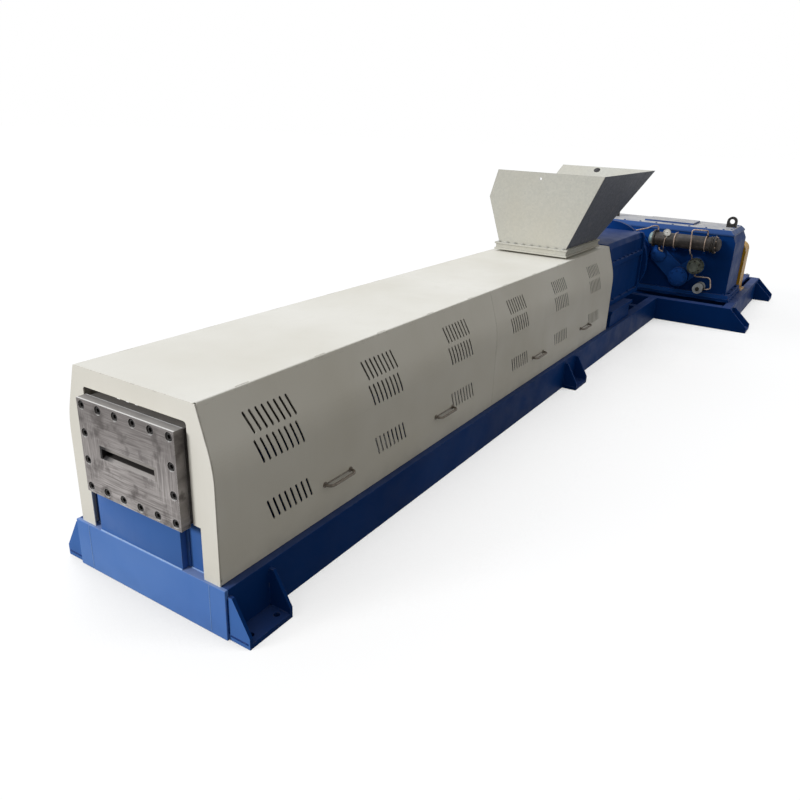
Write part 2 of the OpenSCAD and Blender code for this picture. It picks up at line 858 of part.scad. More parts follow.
module die_front_plate() {
  color(STEEL) translate([-die_front_t, 0, axis_z]) difference() {
    translate([0, -die_w / 2, -die_h / 2]) cube([die_front_t, die_w, die_h]);
    translate([-cut, -die_slot_w / 2, -die_slot_h / 2])
      cube([die_front_t + 2 * cut, die_slot_w, die_slot_h]);
    translate([0, -die_slot_w / 2, 0]) along_y(die_slot_w) polygon([
      [-cut, -die_slot_h / 2 - die_bevel - cut], [die_bevel + cut, -die_slot_h / 2],
      [die_bevel + cut, 0], [-cut, 0]
    ]);
    for (p = die_bolts())
      translate([-cut, p[0], p[1]]) rod_x(die_bolt_d, die_bolt_depth + cut);
  }
}

module die_back_plate() {
  w = die_w - 2 * die_step;
  h = die_h - 2 * die_step;
  color(STEEL) translate([0, 0, axis_z]) difference() {
    translate([0, -w / 2, -h / 2]) cube([die_back_t, w, h]);
    translate([-cut, -die_slot_w / 2, -die_slot_h / 2])
      cube([die_back_t + 2 * cut, die_slot_w, die_slot_h]);
  }
}

// Hood

// One side of the hood, from ztop down to zlow, at a depth inside its outer face
function hood_side(depth, ztop, zlow) = concat(
  [[half_top - depth * cos(side_lean)
    + (hood_top_z - depth * sin(side_lean) - ztop) * tan(side_lean), ztop]],
  [for (i = [0 : arc_steps]) let (a = side_lean * (1 - i / arc_steps))
    [half_side - bend_r + (bend_r - depth) * cos(a), bend_z + (bend_r - depth) * sin(a)]],
  [[half_side - depth, zlow]]
);

function reversed(list) = [for (i = [len(list) - 1 : -1 : 0]) list[i]];

function mirrored(list) = [for (p = list) [-p[0], p[1]]];

// Outline of the whole hood at a depth inside its outer face
function hood_outline(depth, ztop, zlow) = let (side = hood_side(depth, ztop, zlow))
  concat(side, reversed(mirrored(side)));

function knuckle_x(i) = (i + 0.5) * knuckle_pitch - knuckle_len / 2;

module hinge_notches() {
  depth = bead_d + knuckle_play;
  for (i = [0 : knuckle_count - 1])
    translate([knuckle_x(i) - knuckle_play, bead_y - bead_d / 2 - knuckle_play, bead_z - bead_d])
      cube([knuckle_len + 2 * knuckle_play, 2 * depth, 2 * depth]);
}

// One top sheet with the rolled hinge edges that carry a pair of doors
module top_sheet(x0, x1, hinge_x0) {
  sheet_half = bead_y - bead_d / 10;
  difference() {
    union() {
      translate([x0, -sheet_half, hood_top_z - sheet_t])
        cube([x1 - x0, 2 * sheet_half, sheet_t]);
      both_sides() translate([hinge_x0, bead_y, bead_z]) rod_x(bead_d, door_len);
    }
    both_sides() translate([hinge_x0, 0, 0]) {
      hinge_notches();
      translate([-cut, bead_y, bead_z]) rod_x(pin_d + 2 * pin_play, door_len + 2 * cut);
    }
  }
}

module hood_top() {
  side = neck_wall + neck_gap;
  color(CREAM) {
    top_sheet(0, seam_x - top_seam / 2, door_x0);
    difference() {
      top_sheet(seam_x + top_seam / 2, hood_len, rear_door_x0);
      translate([throat_x0 - side, -throat_w / 2 - side, hood_top_z - 2 * sheet_t])
        cube([throat_len + 2 * side, throat_w + 2 * side, 3 * sheet_t]);
    }
  }
}

module hinge_pins() {
  color(STEEL) both_sides() for (x = [door_x0, rear_door_x0])
    translate([x, bead_y, bead_z]) rod_x(pin_d, door_len);
}

// Upright frame behind the ends of the doors, clear of the hinge
module frame_arch(width) {
  corner_z = door_top_z - door_gap;
  corner_y = bead_y - bead_d / 2 - door_gap;
  top_z = hood_top_z - sheet_t;
  along_x(width) difference() {
    polygon(concat(
      [[-corner_y, corner_z], [-corner_y, top_z], [corner_y, top_z], [corner_y, corner_z]],
      hood_outline(frame_off, corner_z, rail_h)
    ));
    translate([0, -cut]) polygon(
      hood_outline(frame_off + frame_depth, top_z - frame_depth, rail_h - cut));
  }
}

// Opening round the die: its upper corners are round, and it is wider below the die
module front_opening() {
  half_w = die_w / 2 + die_side_gap;
  top_z = axis_z + die_h / 2 + die_top_gap;
  step_z = axis_z - die_h / 2 + front_step;
  translate([-half_w, rail_h]) square([2 * half_w, top_z - front_corner - rail_h]);
  translate([front_corner - half_w, rail_h])
    square([2 * (half_w - front_corner), top_z - rail_h]);
  for (side = [-1, 1])
    translate([side * (half_w - front_corner), top_z - front_corner]) circle(front_corner);
  translate([-front_low_y, rail_h - cut]) square([2 * front_low_y, step_z - rail_h + cut]);
}

module hood_front_panel() {
  color(CREAM) {
    along_x(end_panel_t) difference() {
      polygon(hood_outline(0, hood_top_z - sheet_t, rail_h));
      front_opening();
    }
    translate([end_panel_t - cut, 0, 0]) frame_arch(frame_depth + cut);
  }
}

module hood_rear_panel() {
  half_w = feed_w / 2 + rear_gap;
  color(CREAM) translate([hood_len - end_panel_t, 0, 0]) {
    along_x(end_panel_t) difference() {
      polygon(hood_outline(0, hood_top_z - sheet_t, rail_h));
      translate([-half_w, rail_h - cut]) square([2 * half_w, axis_h + half_w + cut]);
    }
    translate([-frame_depth, 0, 0]) frame_arch(frame_depth + cut);
  }
}

module hood_mid_frame() {
  color(CREAM) translate([seam_x - frame_depth / 2, 0, 0]) frame_arch(frame_depth);
}

// Angle bars along the rails, one below each door
module hood_sills() {
  web_y = half_side - door_lip - 2 * door_gap;
  web_h = door_lift + sill_h;
  x0 = end_panel_t + frame_depth;
  len = seam_x - frame_depth / 2 - x0;
  color(CREAM) both_sides() for (x = [x0, hood_len - x0 - len])
    translate([x, 0, rail_h]) along_x(len) polygon([
      [web_y - frame_depth, 0], [web_y, 0], [web_y, web_h], [web_y - sheet_t, web_h],
      [web_y - sheet_t, sheet_t], [web_y - frame_depth, sheet_t]
    ]);
}

module vent_row(row) {
  height = vent_ends[row] - vent_tops[row];
  len = height / cos(slot_lean);
  x_mid = vent_shifts[row] + height * tan(slot_lean) / 2;
  for (i = [0 : slot_count - 1])
    translate([x_mid + i * slot_pitch, hood_top_z - (vent_tops[row] + vent_ends[row]) / 2])
      rotate(90 + slot_lean) slot_outline(len, slot_w);
}

module vent_cuts() {
  for (group = [0 : vent_groups - 1], row = [0 : len(vent_tops) - 1])
    translate([vent_start + group * vent_pitch, half_top - 2 * sheet_t, 0])
      along_y(top_inset + 3 * sheet_t) vent_row(row);
}

// Hinge knuckle with its leaf, which lies against the inside of the door
module door_knuckle() {
  inner = hood_side(sheet_t + leaf_t, bead_z, door_top_z - leaf_h);
  outer = hood_side(sheet_t / 2, bead_z, door_top_z - leaf_h);
  slant = (door_top_z - leaf_h - bead_z) * tan(side_lean);
  along_x(knuckle_len) difference() {
    union() {
      translate([bead_y, bead_z]) circle(d = bead_d);
      polygon([
        inner[0], outer[0],
        [outer[0][0] - slant, door_top_z - leaf_h],
        [inner[0][0] - slant, door_top_z - leaf_h]
      ]);
    }
    translate([bead_y, bead_z]) circle(d = pin_d + 2 * pin_play);
  }
}

// A vented door with its knuckles; the lip along its lower edge stops short of the frames
module side_door(x0) {
  outer = hood_side(0, door_top_z, door_low_z);
  inner = hood_side(sheet_t, door_top_z, door_low_z);
  color(CREAM) translate([x0, 0, 0]) {
    difference() {
      along_x(door_len) polygon(concat(outer, reversed(inner)));
      vent_cuts();
    }
    translate([lip_inset, half_side - door_lip, door_low_z])
      cube([door_len - 2 * lip_inset, door_lip - sheet_t / 2, sheet_t]);
    for (i = [0 : knuckle_count - 1])
      translate([knuckle_x(i), 0, 0]) door_knuckle();
  }
}

module left_front_door() { side_door(door_x0); }
module left_rear_door() { side_door(rear_door_x0); }
module right_front_door() { mirror([0, 1, 0]) side_door(door_x0); }
module right_rear_door() { mirror([0, 1, 0]) side_door(rear_door_x0); }

// A bow handle, its two feet on the plane Y = 0
module pull_handle() {
  bend = 2 * handle_d;
  leg = handle_out - handle_d / 2 - bend;
  for (side = [-1, 1]) translate([side * handle_len / 2, 0, 0]) {
    rod_y(2 * handle_d, handle_foot_t);
    translate([0, handle_foot_t, 0]) rod_y(handle_d, leg - handle_foot_t);
    translate([-side * bend, leg, 0]) rotate([0, 0, side > 0 ? 0 : 90])
      rotate_extrude(angle = 90) translate([bend, 0]) circle(d = handle_d);
  }
  translate([-handle_len / 2 + bend, leg + bend, 0])
    rod_x(handle_d, handle_len - 2 * bend);
}

module door_handles(x0) {
  color(STEEL) for (i = [0, 1])
    translate([x0 + handle_start + i * handle_pitch, half_side, door_low_z + handle_lift])
      pull_handle();
}

module left_front_handles() { door_handles(door_x0); }
module left_rear_handles() { door_handles(rear_door_x0); }
module right_front_handles() { mirror([0, 1, 0]) door_handles(door_x0); }
module right_rear_handles() { mirror([0, 1, 0]) door_handles(rear_door_x0); }

// Feed section and hopper

// Block round the screw, with the throat neck above it and a pillar below it
module feed_section() {
  color(BLUE) difference() {
    union() {
      translate([feed_x, -feed_w / 2, axis_z - feed_w / 2]) cube([feed_len, feed_w, feed_w]);
      translate([throat_x0 - neck_wall, -throat_w / 2 - neck_wall, axis_z])
        cube([throat_len + 2 * neck_wall, throat_w + 2 * neck_wall, collar_z0 - axis_z]);
      translate([feed_x + (feed_len - cross_w) / 2, -feed_w / 2, rail_h])
        cube([cross_w, feed_w, axis_h]);
    }
    translate([feed_x - cut, 0, axis_z]) rod_x(bore_d, feed_len + 2 * cut);
    translate([throat_x0, -throat_w / 2, axis_z])
      cube([throat_len, throat_w, collar_z0 - axis_z + cut]);
  }
}

// Two flanges with a waist between them, open in the middle
module hopper_collar() {
  waist_h = collar_h - 2 * collar_floor;
  rim_x = collar_rim + hopper_t;
  rim_y = collar_side_rim + hopper_t;
  color(SHEET) translate([collar_x, -collar_w / 2, collar_z0]) difference() {
    union() {
      for (z = [0, collar_h - collar_floor])
        translate([0, 0, z]) cube([collar_len, collar_w, collar_floor]);
      translate([collar_waist, collar_waist, collar_floor - cut])
        cube([collar_len - 2 * collar_waist, collar_w - 2 * collar_waist, waist_h + 2 * cut]);
    }
    translate([rim_x, rim_y, collar_floor])
      cube([collar_len - 2 * rim_x, collar_w - 2 * rim_y, collar_h]);
    translate([throat_x0 - collar_x, (collar_w - throat_w) / 2, -cut])
      cube([throat_len, throat_w, collar_h]);
  }
}

// Right and left edge of the hopper's front view, moved in by a depth
function hopper_right(depth) = [
  [-hopper_half + depth, hopper_z0],
  [-hopper_half - hopper_right_out + depth, hopper_z0 + hopper_h]
];

function hopper_left(depth) = [
  [hopper_half - depth, hopper_z0],
  [hopper_half + hopper_left_out - depth, hopper_z0 + hopper_fold_h]
];

// Front view of the end walls, whose upper left corner is clipped above the left wall
module hopper_end_outline() {
  clipped = [hopper_half + hopper_left_out - hopper_left_in, hopper_z0 + hopper_h];
  polygon(concat(hopper_right(0), [clipped], reversed(hopper_left(0))));
}

module hopper_front_wall() {
  color(SHEET) translate([hopper_x0, 0, 0]) difference() {
    along_x(hopper_t) hopper_end_outline();
    translate([-cut, -hook_hole_d, hopper_z0 + hopper_h - hole_drop])
      rod_x(hook_hole_d, hopper_t + 2 * cut);
  }
}

// Everything behind the leaning rear wall's inner face
module behind_hopper(thickness) {
  translate([hopper_back_x, -collar_w, hopper_z0])
    rotate([0, back_lean, 0]) translate([0, 0, -collar_w])
      cube([thickness, 2 * collar_w, 2 * collar_w + 2 * hopper_h]);
}

module hopper_side(outer, inner) {
  difference() {
    translate([hopper_x0 + hopper_t, 0, 0]) along_x(hopper_reach)
      polygon(concat(outer, reversed(inner)));
    behind_hopper(hopper_reach);
  }
}

module hopper_right_wall() {
  color(SHEET) hopper_side(hopper_right(0), hopper_right(hopper_t));
}

module hopper_left_wall() {
  color(SHEET) hopper_side(hopper_left(0), hopper_left(hopper_t));
}

module hopper_back_wall() {
  slant_len = hopper_h / cos(back_lean);
  color(SHEET) difference() {
    intersection() {
      translate([hopper_x0 + hopper_t, 0, 0]) along_x(hopper_reach) hopper_end_outline();
      behind_hopper(hopper_t);
    }
    translate([hopper_back_x, 0, hopper_z0]) rotate([0, back_lean, 0])
      translate([-cut, 0, slant_len - hole_drop]) rod_x(sight_hole_d, hopper_t + 2 * cut);
  }
}

// Feed housing and gearbox

module feed_pedestal() {
  x0 = housing_x0 + pedestal_lead;
  plate_half = half_base - pedestal_margin;
  plate_z0 = housing_low_z - pedestal_t;
  wall_h = plate_z0 - rail_h + cut;
  wall_y = half_base - rail_flange / 2;
  color(BLUE) {
    translate([x0, -plate_half, plate_z0])
      cube([pedestal_len, 2 * plate_half, pedestal_t]);
    for (side = [-1, 1])
      translate([x0 + pedestal_t, side * wall_y - pedestal_t / 2, rail_h])
        cube([pedestal_len - 2 * pedestal_t, pedestal_t, wall_h]);
    for (x = [x0 + pedestal_t, x0 + pedestal_len - 2 * pedestal_t])
      translate([x, -wall_y, rail_h]) cube([pedestal_t, 2 * wall_y, wall_h]);
  }
}

// Section of the feed housing, its upper corners sloped
module housing_outline(half_w) {
  h = housing_down + housing_up;
  corner = housing_corner;
  polygon([
    [-half_w, 0], [half_w, 0], [half_w, h - corner], [half_w - corner / 2, h],
    [corner / 2 - half_w, h], [-half_w, h - corner]
  ]);
}

// Two-part casting with end flanges, a foot flange and a flange at its parting line
module feed_housing() {
  half_w = housing_w / 2;
  split_h = housing_down + split_up - housing_flange_t / 2;
  color(BLUE) translate([housing_x0, 0, housing_low_z]) {
    along_x(housing_len) housing_outline(half_w - housing_flange);
    for (x = [0, housing_len - housing_flange_t])
      translate([x, 0, 0]) along_x(housing_flange_t) housing_outline(half_w);
    for (z = [0, split_h])
      translate([0, -half_w, z]) cube([housing_len, housing_w, housing_flange_t]);
  }
}

module thrust_housing() {
  cone_end = thrust_flange_t + thrust_cone_len;
  color(BLUE) translate([housing_x1, 0, axis_z]) rotate([0, 90, 0]) rotate_extrude()
    polygon([
      [0, 0], [thrust_flange_d / 2, 0], [thrust_flange_d / 2, thrust_flange_t],
      [thrust_d / 2, thrust_flange_t], [thrust_neck_d / 2, cone_end],
      [thrust_neck_d / 2, thrust_len - neck_flange_t],
      [neck_flange_d / 2, thrust_len - neck_flange_t],
      [neck_flange_d / 2, thrust_len], [0, thrust_len]
    ]);
}

// The four points where two circles' outer tangents touch them
function tangent_points(p, r, q, s) =
  let (along = q - p, turn = atan2(along[1], along[0]), open = acos((r - s) / norm(along)))
  [for (a = [turn + open, turn - open]) each [p + r * [cos(a), sin(a)], q + s * [cos(a), sin(a)]]];

// A tapered arm from inside a boss to its own round end
module arm_outline(p, r, q, s) {
  t = tangent_points(p, r - arm_shy, q, s - arm_shy);
  translate(q) circle(s);
  polygon([t[0], t[1], t[3], t[2]]);
}

// Cast case: a foot flange, a bearing boss with two arms in front, a bearing cover behind
module gearbox_case() {
  boss = [-boss_y, gear_z0 + boss_up];
  color(BLUE) {
    translate([gear_x0, 0, gear_z0]) along_x(gear_depth) polygon([
      [-gear_right, 0], [gear_left, 0], [gear_left, gear_h],
      [-gear_right + gear_corner / 2, gear_h], [-gear_right, gear_h - gear_corner]
    ]);
    translate([gear_x0 - gear_foot_out, -gear_right - gear_foot_out, gear_z0])
      cube([gear_depth + 2 * gear_foot_out, gear_right + gear_left + gear_foot_out, gear_foot_t]);
    translate([gear_x0 - boss_out, boss[0], boss[1]]) rod_x(boss_d, boss_out + cut);
    translate([gear_x0 - arm_out, 0, 0]) {
      along_x(arm_out + cut)
        arm_outline(boss, boss_d / 2, [-left_arm_y, gear_z0 + left_arm_up], left_arm_r);
      along_x(arm_out + cut)
        arm_outline(boss, boss_d / 2, [-pump_y, gear_z0 + pump_up], pump_pad_r);
    }
    translate([gear_x1 - cut, 0, axis_z]) rod_x(rear_cover_d, rear_cover_t + cut);
  }
}

// Section of the lid, its upper edges sloped
module lid_outline(low, high) {
  polygon([
    [low, 0], [high, 0], [high, lid_flange_t], [high - lid_slope, lid_t],
    [low + lid_slope, lid_t], [low, lid_flange_t]
  ]);
}

// Lid with slopes all round and its inspection cover
module gearbox_lid() {
  x_mid = (gear_x0 + gear_x1) / 2;
  y_mid = (gear_left - gear_right) / 2;
  x_low = gear_x0 - lid_lip;
  y_high = gear_left + lid_lip;
  color(BLUE) {
    intersection() {
      translate([x_low, 0, gear_z1]) along_x(gear_depth + 2 * lid_lip) lid_outline(-lid_right, y_high);
      translate([0, -lid_right, gear_z1])
        along_y(lid_right + y_high) lid_outline(x_low, gear_x1 + lid_lip);
    }
    translate([x_mid - hatch_len / 2, y_mid - hatch_w / 2, lid_z1 - cut])
      cube([hatch_len, hatch_w, hatch_t + cut]);
  }
}

module lifting_lugs() {
  color(DARK) for (y = [lug_off - lid_right, gear_left + lid_lip - lug_off])
    translate([(gear_x0 + gear_x1 - lug_t) / 2, y, lid_z1])
      along_x(lug_t) difference() {
        union() {
          translate([-lug_w / 2, 0]) square([lug_w, lug_hole_z]);
          translate([0, lug_hole_z]) circle(d = lug_w);
        }
        translate([0, lug_hole_z]) circle(d = lug_hole_d);
      }
}

module input_shaft() {
  color(STEEL) translate([gear_x1, -input_y, axis_z]) {
    rod_x(seal_cover_d, seal_cover_t);
    rod_x(input_d, seal_cover_t + input_len);
  }
}

// Oil unit

// Half outline of the cooler, turned about its axis: flanges and domed caps at both ends
module cooler_outline() {
  rim = cooler_cap_d / 2;
  flange = cooler_flange_d / 2;
  shell = cooler_d / 2;
  dome = cooler_cap_len * 2 / 3;
  polygon(concat(
    [[0, -cooler_cap_len]],
    [for (i = [1 : arc_steps]) let (a = 90 * i / arc_steps)
      [rim * sin(a), dome - cooler_cap_len - dome * cos(a)]],
    [[rim, 0], [flange, 0], [flange, cooler_flange_t], [shell, cooler_flange_t],
     [shell, cooler_len - cooler_flange_t], [flange, cooler_len - cooler_flange_t],
     [flange, cooler_len], [rim, cooler_len]],
    [for (i = [arc_steps : -1 : 1]) let (a = 90 * i / arc_steps)
      [rim * sin(a), cooler_len + cooler_cap_len - dome + dome * cos(a)]],
    [[0, cooler_len + cooler_cap_len]]
  ));
}

module oil_cooler() {
  color(DARK) translate([cooler_x, -cooler_y - cooler_len, cooler_z])
    rotate([-90, 0, 0]) rotate_extrude() cooler_outline();
}

function saddle_ys() = [for (along = [saddle_lead, cooler_len - saddle_tail]) -cooler_y - along];

module cooler_saddles() {
  drop = cooler_d / 2 + saddle_drop;
  color(BLUE) for (y = saddle_ys())
    translate([cooler_x, y - saddle_w / 2, cooler_z]) along_y(saddle_w) difference() {
      translate([0, -drop]) square([cooler_off, drop]);
      circle(d = cooler_d + 2 * barrel_seat);
    }
}

module oil_pump() {
  color(DARK) translate([gear_x0 - arm_out, -pump_y, gear_z0 + pump_up]) mirror([1, 0, 0]) {
    rod_x(pump_flange_d, pump_flange_t);
    rod_x(pump_d, pump_len - pump_cover_len);
    rod_x(pump_cover_d, pump_len);
  }
}

module oil_filter() {
  color(SHEET) translate([gear_x0 - filter_len, -input_y - filter_aside, gear_z0 + filter_up])
    rod_x(filter_d, filter_len);
}

// Outline of the guard's sheet at a depth inside its outer face
module guard_outline(depth) {
  corner = guard_corner;
  flat = guard_w / 2 - corner;
  half_w = guard_w / 2;
  translate([depth - half_w, -depth]) square([2 * (half_w - depth), guard_h - corner + depth]);
  translate([-flat, -depth]) square([2 * flat, guard_h]);
  for (side = [-1, 1])
    translate([side * flat, guard_h - corner]) circle(corner - depth);
}

// Bent sheet over the coupling, with a foot turned out at each side
module coupling_guard() {
  color(YELLOW) translate([gear_x1 + guard_gap, -input_y, rail_h]) along_x(guard_len) {
    difference() {
      guard_outline(0);
      guard_outline(guard_t);
    }
    for (side = [-1, 1])
      translate([side * (guard_w + guard_foot) / 2, guard_t / 2])
        square([guard_foot + cut, guard_t], center = true);
  }
}

right_rail();
left_rail();
front_plate();
cross_members();
rail_feet();
drive_end_beams();
drive_side_rails();
drive_mid_beams();
drive_feet();
gearbox_bed();
motor_rails();
barrel();
screw();
heater_bands();
barrel_supports();
front_pedestal();
die_front_plate();
die_back_plate();
hood_top();
hood_front_panel();
hood_rear_panel();
hood_mid_frame();
hood_sills();
hinge_pins();
right_front_door();
right_rear_door();
left_front_door();
left_rear_door();
right_front_handles();
right_rear_handles();
left_front_handles();
left_rear_handles();
feed_section();
hopper_collar();
hopper_front_wall();
hopper_back_wall();
hopper_right_wall();
hopper_left_wall();
feed_pedestal();
feed_housing();
thrust_housing();
gearbox_case();
gearbox_lid();
lifting_lugs();
input_shaft();
oil_cooler();
cooler_saddles();
oil_pump();
oil_filter();
coupling_guard();
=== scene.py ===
"""Looks of the plastic extruder: camera, light, materials, bolts, welds, pipes and other small pieces.

Everything is in metres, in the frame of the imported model: X runs from the die to the motor bed.
"""

import json
import math
import random

import bmesh
import bpy
from mathutils import Matrix, Vector


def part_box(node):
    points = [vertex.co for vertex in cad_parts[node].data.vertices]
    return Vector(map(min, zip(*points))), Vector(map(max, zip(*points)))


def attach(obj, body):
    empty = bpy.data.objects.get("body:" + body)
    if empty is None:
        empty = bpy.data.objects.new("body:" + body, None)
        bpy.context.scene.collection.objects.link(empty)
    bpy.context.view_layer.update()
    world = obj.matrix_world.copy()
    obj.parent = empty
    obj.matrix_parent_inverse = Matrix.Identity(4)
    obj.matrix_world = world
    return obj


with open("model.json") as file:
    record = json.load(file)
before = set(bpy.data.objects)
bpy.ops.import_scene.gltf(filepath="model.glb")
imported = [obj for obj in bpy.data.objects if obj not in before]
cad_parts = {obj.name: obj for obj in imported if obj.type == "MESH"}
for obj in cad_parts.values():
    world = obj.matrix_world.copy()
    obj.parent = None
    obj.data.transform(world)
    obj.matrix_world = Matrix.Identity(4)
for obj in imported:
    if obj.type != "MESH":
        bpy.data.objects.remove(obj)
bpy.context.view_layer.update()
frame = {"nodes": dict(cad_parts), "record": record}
nodes = frame["nodes"]

# Camera, fitted to straight edges of the photo
CAMERA_AT = Vector((-1.37965, -1.89440, 1.66685))
CAMERA_RIGHT = Vector((0.53978, -0.84095, 0.03798))
CAMERA_UP = Vector((0.28706, 0.22630, 0.93080))
CAMERA_BACK = Vector((-0.79135, -0.49152, 0.36356))
LENS_MM = 32.175
SENSOR_MM = 36.0

# Light: a low soft lamp from the front left, a weaker one from above, and an even sky.
# Each lamp has the way to it, its colour, its strength and its width in degrees.
WORLD_COLOUR = (0.43, 0.42, 0.395, 1)
LAMPS = {
    "front_lamp": (Vector((-0.75, 0.45, 0.35)), (1, 1, 1), 2.45, 16),
    "top_lamp": (Vector((-0.10, 0.45, 0.88)), (0.80, 0.87, 1), 1.70, 60),
}
FLOOR_SIZE = 120
FLOOR_GLOW = 0.86
FLOOR_SHADE = (0.14, 0.14, 0.14, 1)
FLOOR_BOUNCE = (0.08, 0.08, 0.08, 1)
# Open shares of the sky between which the floor loses its glow, and how far it looks for cover
FLOOR_CLOSED = 0.18
FLOOR_OPEN = 0.50
FLOOR_COVER_REACH = 1.5

DOORS = ("right_front_door", "right_rear_door", "left_front_door", "left_rear_door")
# Oil cooler
COOLER_X, COOLER_Z, COOLER_R = 5.738, 0.722, 0.064
COOLER_Y = (-0.235, -0.795)
SADDLES = (-0.435, -0.705)
# Places along X up to which forward faces get a lighter colour, painted light: on the front feet, and on the
# gearbox's raised arms
FEET_END = 0.05
ARM_END = 5.842
LIT_FRONT_RUN = 0.01
# How high grime rises on paint
GRIME_RISE = 0.09
# Half sizes of the die's slot
SLOT_HALF_W, SLOT_HALF_H = 0.134, 0.014

X_AXIS = Vector((1, 0, 0))
Y_AXIS = Vector((0, 1, 0))
Z_AXIS = Vector((0, 0, 1))
RANDOM = random.Random(7)


def add_object(name, data):
    """A new object, linked into the scene."""
    made = bpy.data.objects.new(name, data)
    bpy.context.scene.collection.objects.link(made)
    return made


def linear(red, green, blue):
    """The linear colour of an sRGB colour given in steps of 255."""
    shares = [c / 255 for c in (red, green, blue)]
    return [c / 12.92 if c <= 0.04045 else ((c + 0.055) / 1.055) ** 2.4 for c in shares] + [1]


# Colours that several finishes use. The lighter blues in PAINTS are lit copies of BLUE: painted light.
BLUE = linear(15, 58, 121)
BLUE_SHADE = linear(11, 47, 102)
MID_BLUE = linear(66, 105, 168)
PRIMER = linear(120, 116, 110)
DUST = linear(196, 192, 182)
GRIME = linear(52, 46, 40)


def feed(tree, node, inputs):
    """Sets a node's inputs: each gets a value, or a link from another node's output."""
    for key, value in inputs.items():
        if isinstance(value, bpy.types.NodeSocket):
            tree.links.new(value, node.inputs[key])
        else:
            node.inputs[key].default_value = value


def add_node(tree, kind, inputs, **settings):
    """A new shader node with its settings and inputs."""
    node = tree.nodes.new("ShaderNode" + kind)
    for key, value in settings.items():
        setattr(node, key, value)
    feed(tree, node, inputs)
    return node


class Finish:
    """The node graph of one material, built up by short calls."""

    def __init__(self, name, roughness=0.5, metallic=0.0, shine=0.3):
        self.material = bpy.data.materials.new(name)
        self.material.use_nodes = True
        self.tree = self.material.node_tree
        self.shader = self.tree.nodes["Principled BSDF"]
        start = {"Roughness": roughness, "Metallic": metallic, "Specular IOR Level": shine}
        feed(self.tree, self.shader, start)
        self.place = self.add("TexCoord", {}).outputs["Object"]
        self.normal = self.add("NewGeometry", {}).outputs["Normal"]

    def add(self, kind, inputs, **settings):
        return add_node(self.tree, kind, inputs, **settings)

    def noise(self, scale, detail=4.0, stretch=(1, 1, 1)):
        place = self.place
        if stretch != (1, 1, 1):
            place = self.add("Mapping", {"Scale": stretch, "Vector": place}).outputs["Vector"]
        return self.add("TexNoise", {"Vector": place, "Scale": scale, "Detail": detail}).outputs["Fac"]

    def cells(self, scale):
        """A random grey for each crystal-like cell."""
        return self.add("TexVoronoi", {"Vector": self.place, "Scale": scale}).outputs["Color"]

    def ranged(self, source, low, high, to_low=0.0, to_high=1.0):
        inputs = {"Value": source, "From Min": low, "From Max": high, "To Min": to_low, "To Max": to_high}
        return self.add("MapRange", inputs).outputs["Result"]

    def calc(self, operation, first, second=0.0):
        return self.add("Math", {0: first, 1: second}, operation=operation).outputs["Value"]

    def times(self, first, second):
        return self.calc("MULTIPLY", first, second)

    def mix(self, share, first, second):
        return self.add("Mix", {0: share, 6: first, 7: second}, data_type="RGBA").outputs[2]

    def part_of(self, vector, axis):
        return self.add("SeparateXYZ", {"Vector": vector}).outputs[axis]

    def edges(self, radius):
        """Near 1 along edges, 0 on flat faces."""
        bevelled = self.add("Bevel", {"Radius": radius}, samples=4).outputs["Normal"]
        dot = self.add("VectorMath", {0: bevelled, 1: self.normal}, operation="DOT_PRODUCT")
        return self.ranged(dot.outputs["Value"], 0.985, 0.85)

    def facing_up(self):
        return self.ranged(self.part_of(self.normal, "Z"), 0.75, 0.98)

    def bump(self, height, strength, distance):
        node = self.add("Bump", {"Height": height, "Strength": strength, "Distance": distance})
        feed(self.tree, self.shader, {"Normal": node.outputs["Normal"]})

    def done(self, colour, roughness):
        feed(self.tree, self.shader, {"Base Color": colour, "Roughness": roughness})
        return self.material


def painted(name, colour, shade, gloss, shine, dust, chips, low_z, lit_front=None):
    """Sprayed paint: uneven tone, orange peel, dust on top, chipped edges and grime near the floor.

    A lit colour, where given, covers the faces that look forward ahead of a place along X: painted light on
    those faces.
    """
    f = Finish(name, gloss, 0, shine)
    tone = f.mix(f.ranged(f.noise(1.3, 3), 0.35, 0.7), colour, shade)
    streaks = f.ranged(f.noise(5, 4, (3, 3, 0.35)), 0.56, 0.75, 0, 0.22)
    tone = f.mix(streaks, tone, shade)
    # Painted light: forward faces ahead of the limit take a lighter colour
    if lit_front:
        lit_colour, limit = lit_front
        ahead = f.ranged(f.part_of(f.normal, "X"), -0.80, -0.95)
        front = f.ranged(f.part_of(f.place, "X"), limit, limit - LIT_FRONT_RUN)
        tone = f.mix(f.times(ahead, front), tone, lit_colour)
    settled = f.ranged(f.noise(16, 6), 0.25, 0.85, dust * 0.45, dust)
    tone = f.mix(f.times(f.facing_up(), settled), tone, DUST)
    low = f.ranged(f.part_of(f.place, "Z"), low_z + GRIME_RISE, low_z)
    spots = f.ranged(f.noise(11, 5), 0.35, 0.7, 0, 0.15)
    tone = f.mix(f.times(low, spots), tone, GRIME)
    chipped = f.times(f.edges(0.004), f.ranged(f.noise(38, 5), 0.54, 0.62, 0, chips))
    tone = f.mix(chipped, tone, PRIMER)
    rough = f.ranged(f.noise(9, 4), 0.3, 0.7, gloss - 0.06, gloss + 0.10)
    peel = f.calc("ADD", f.noise(160, 2), f.times(f.noise(14, 2), 0.7))
    f.bump(peel, 0.10, 0.002)
    return f.done(tone, rough)


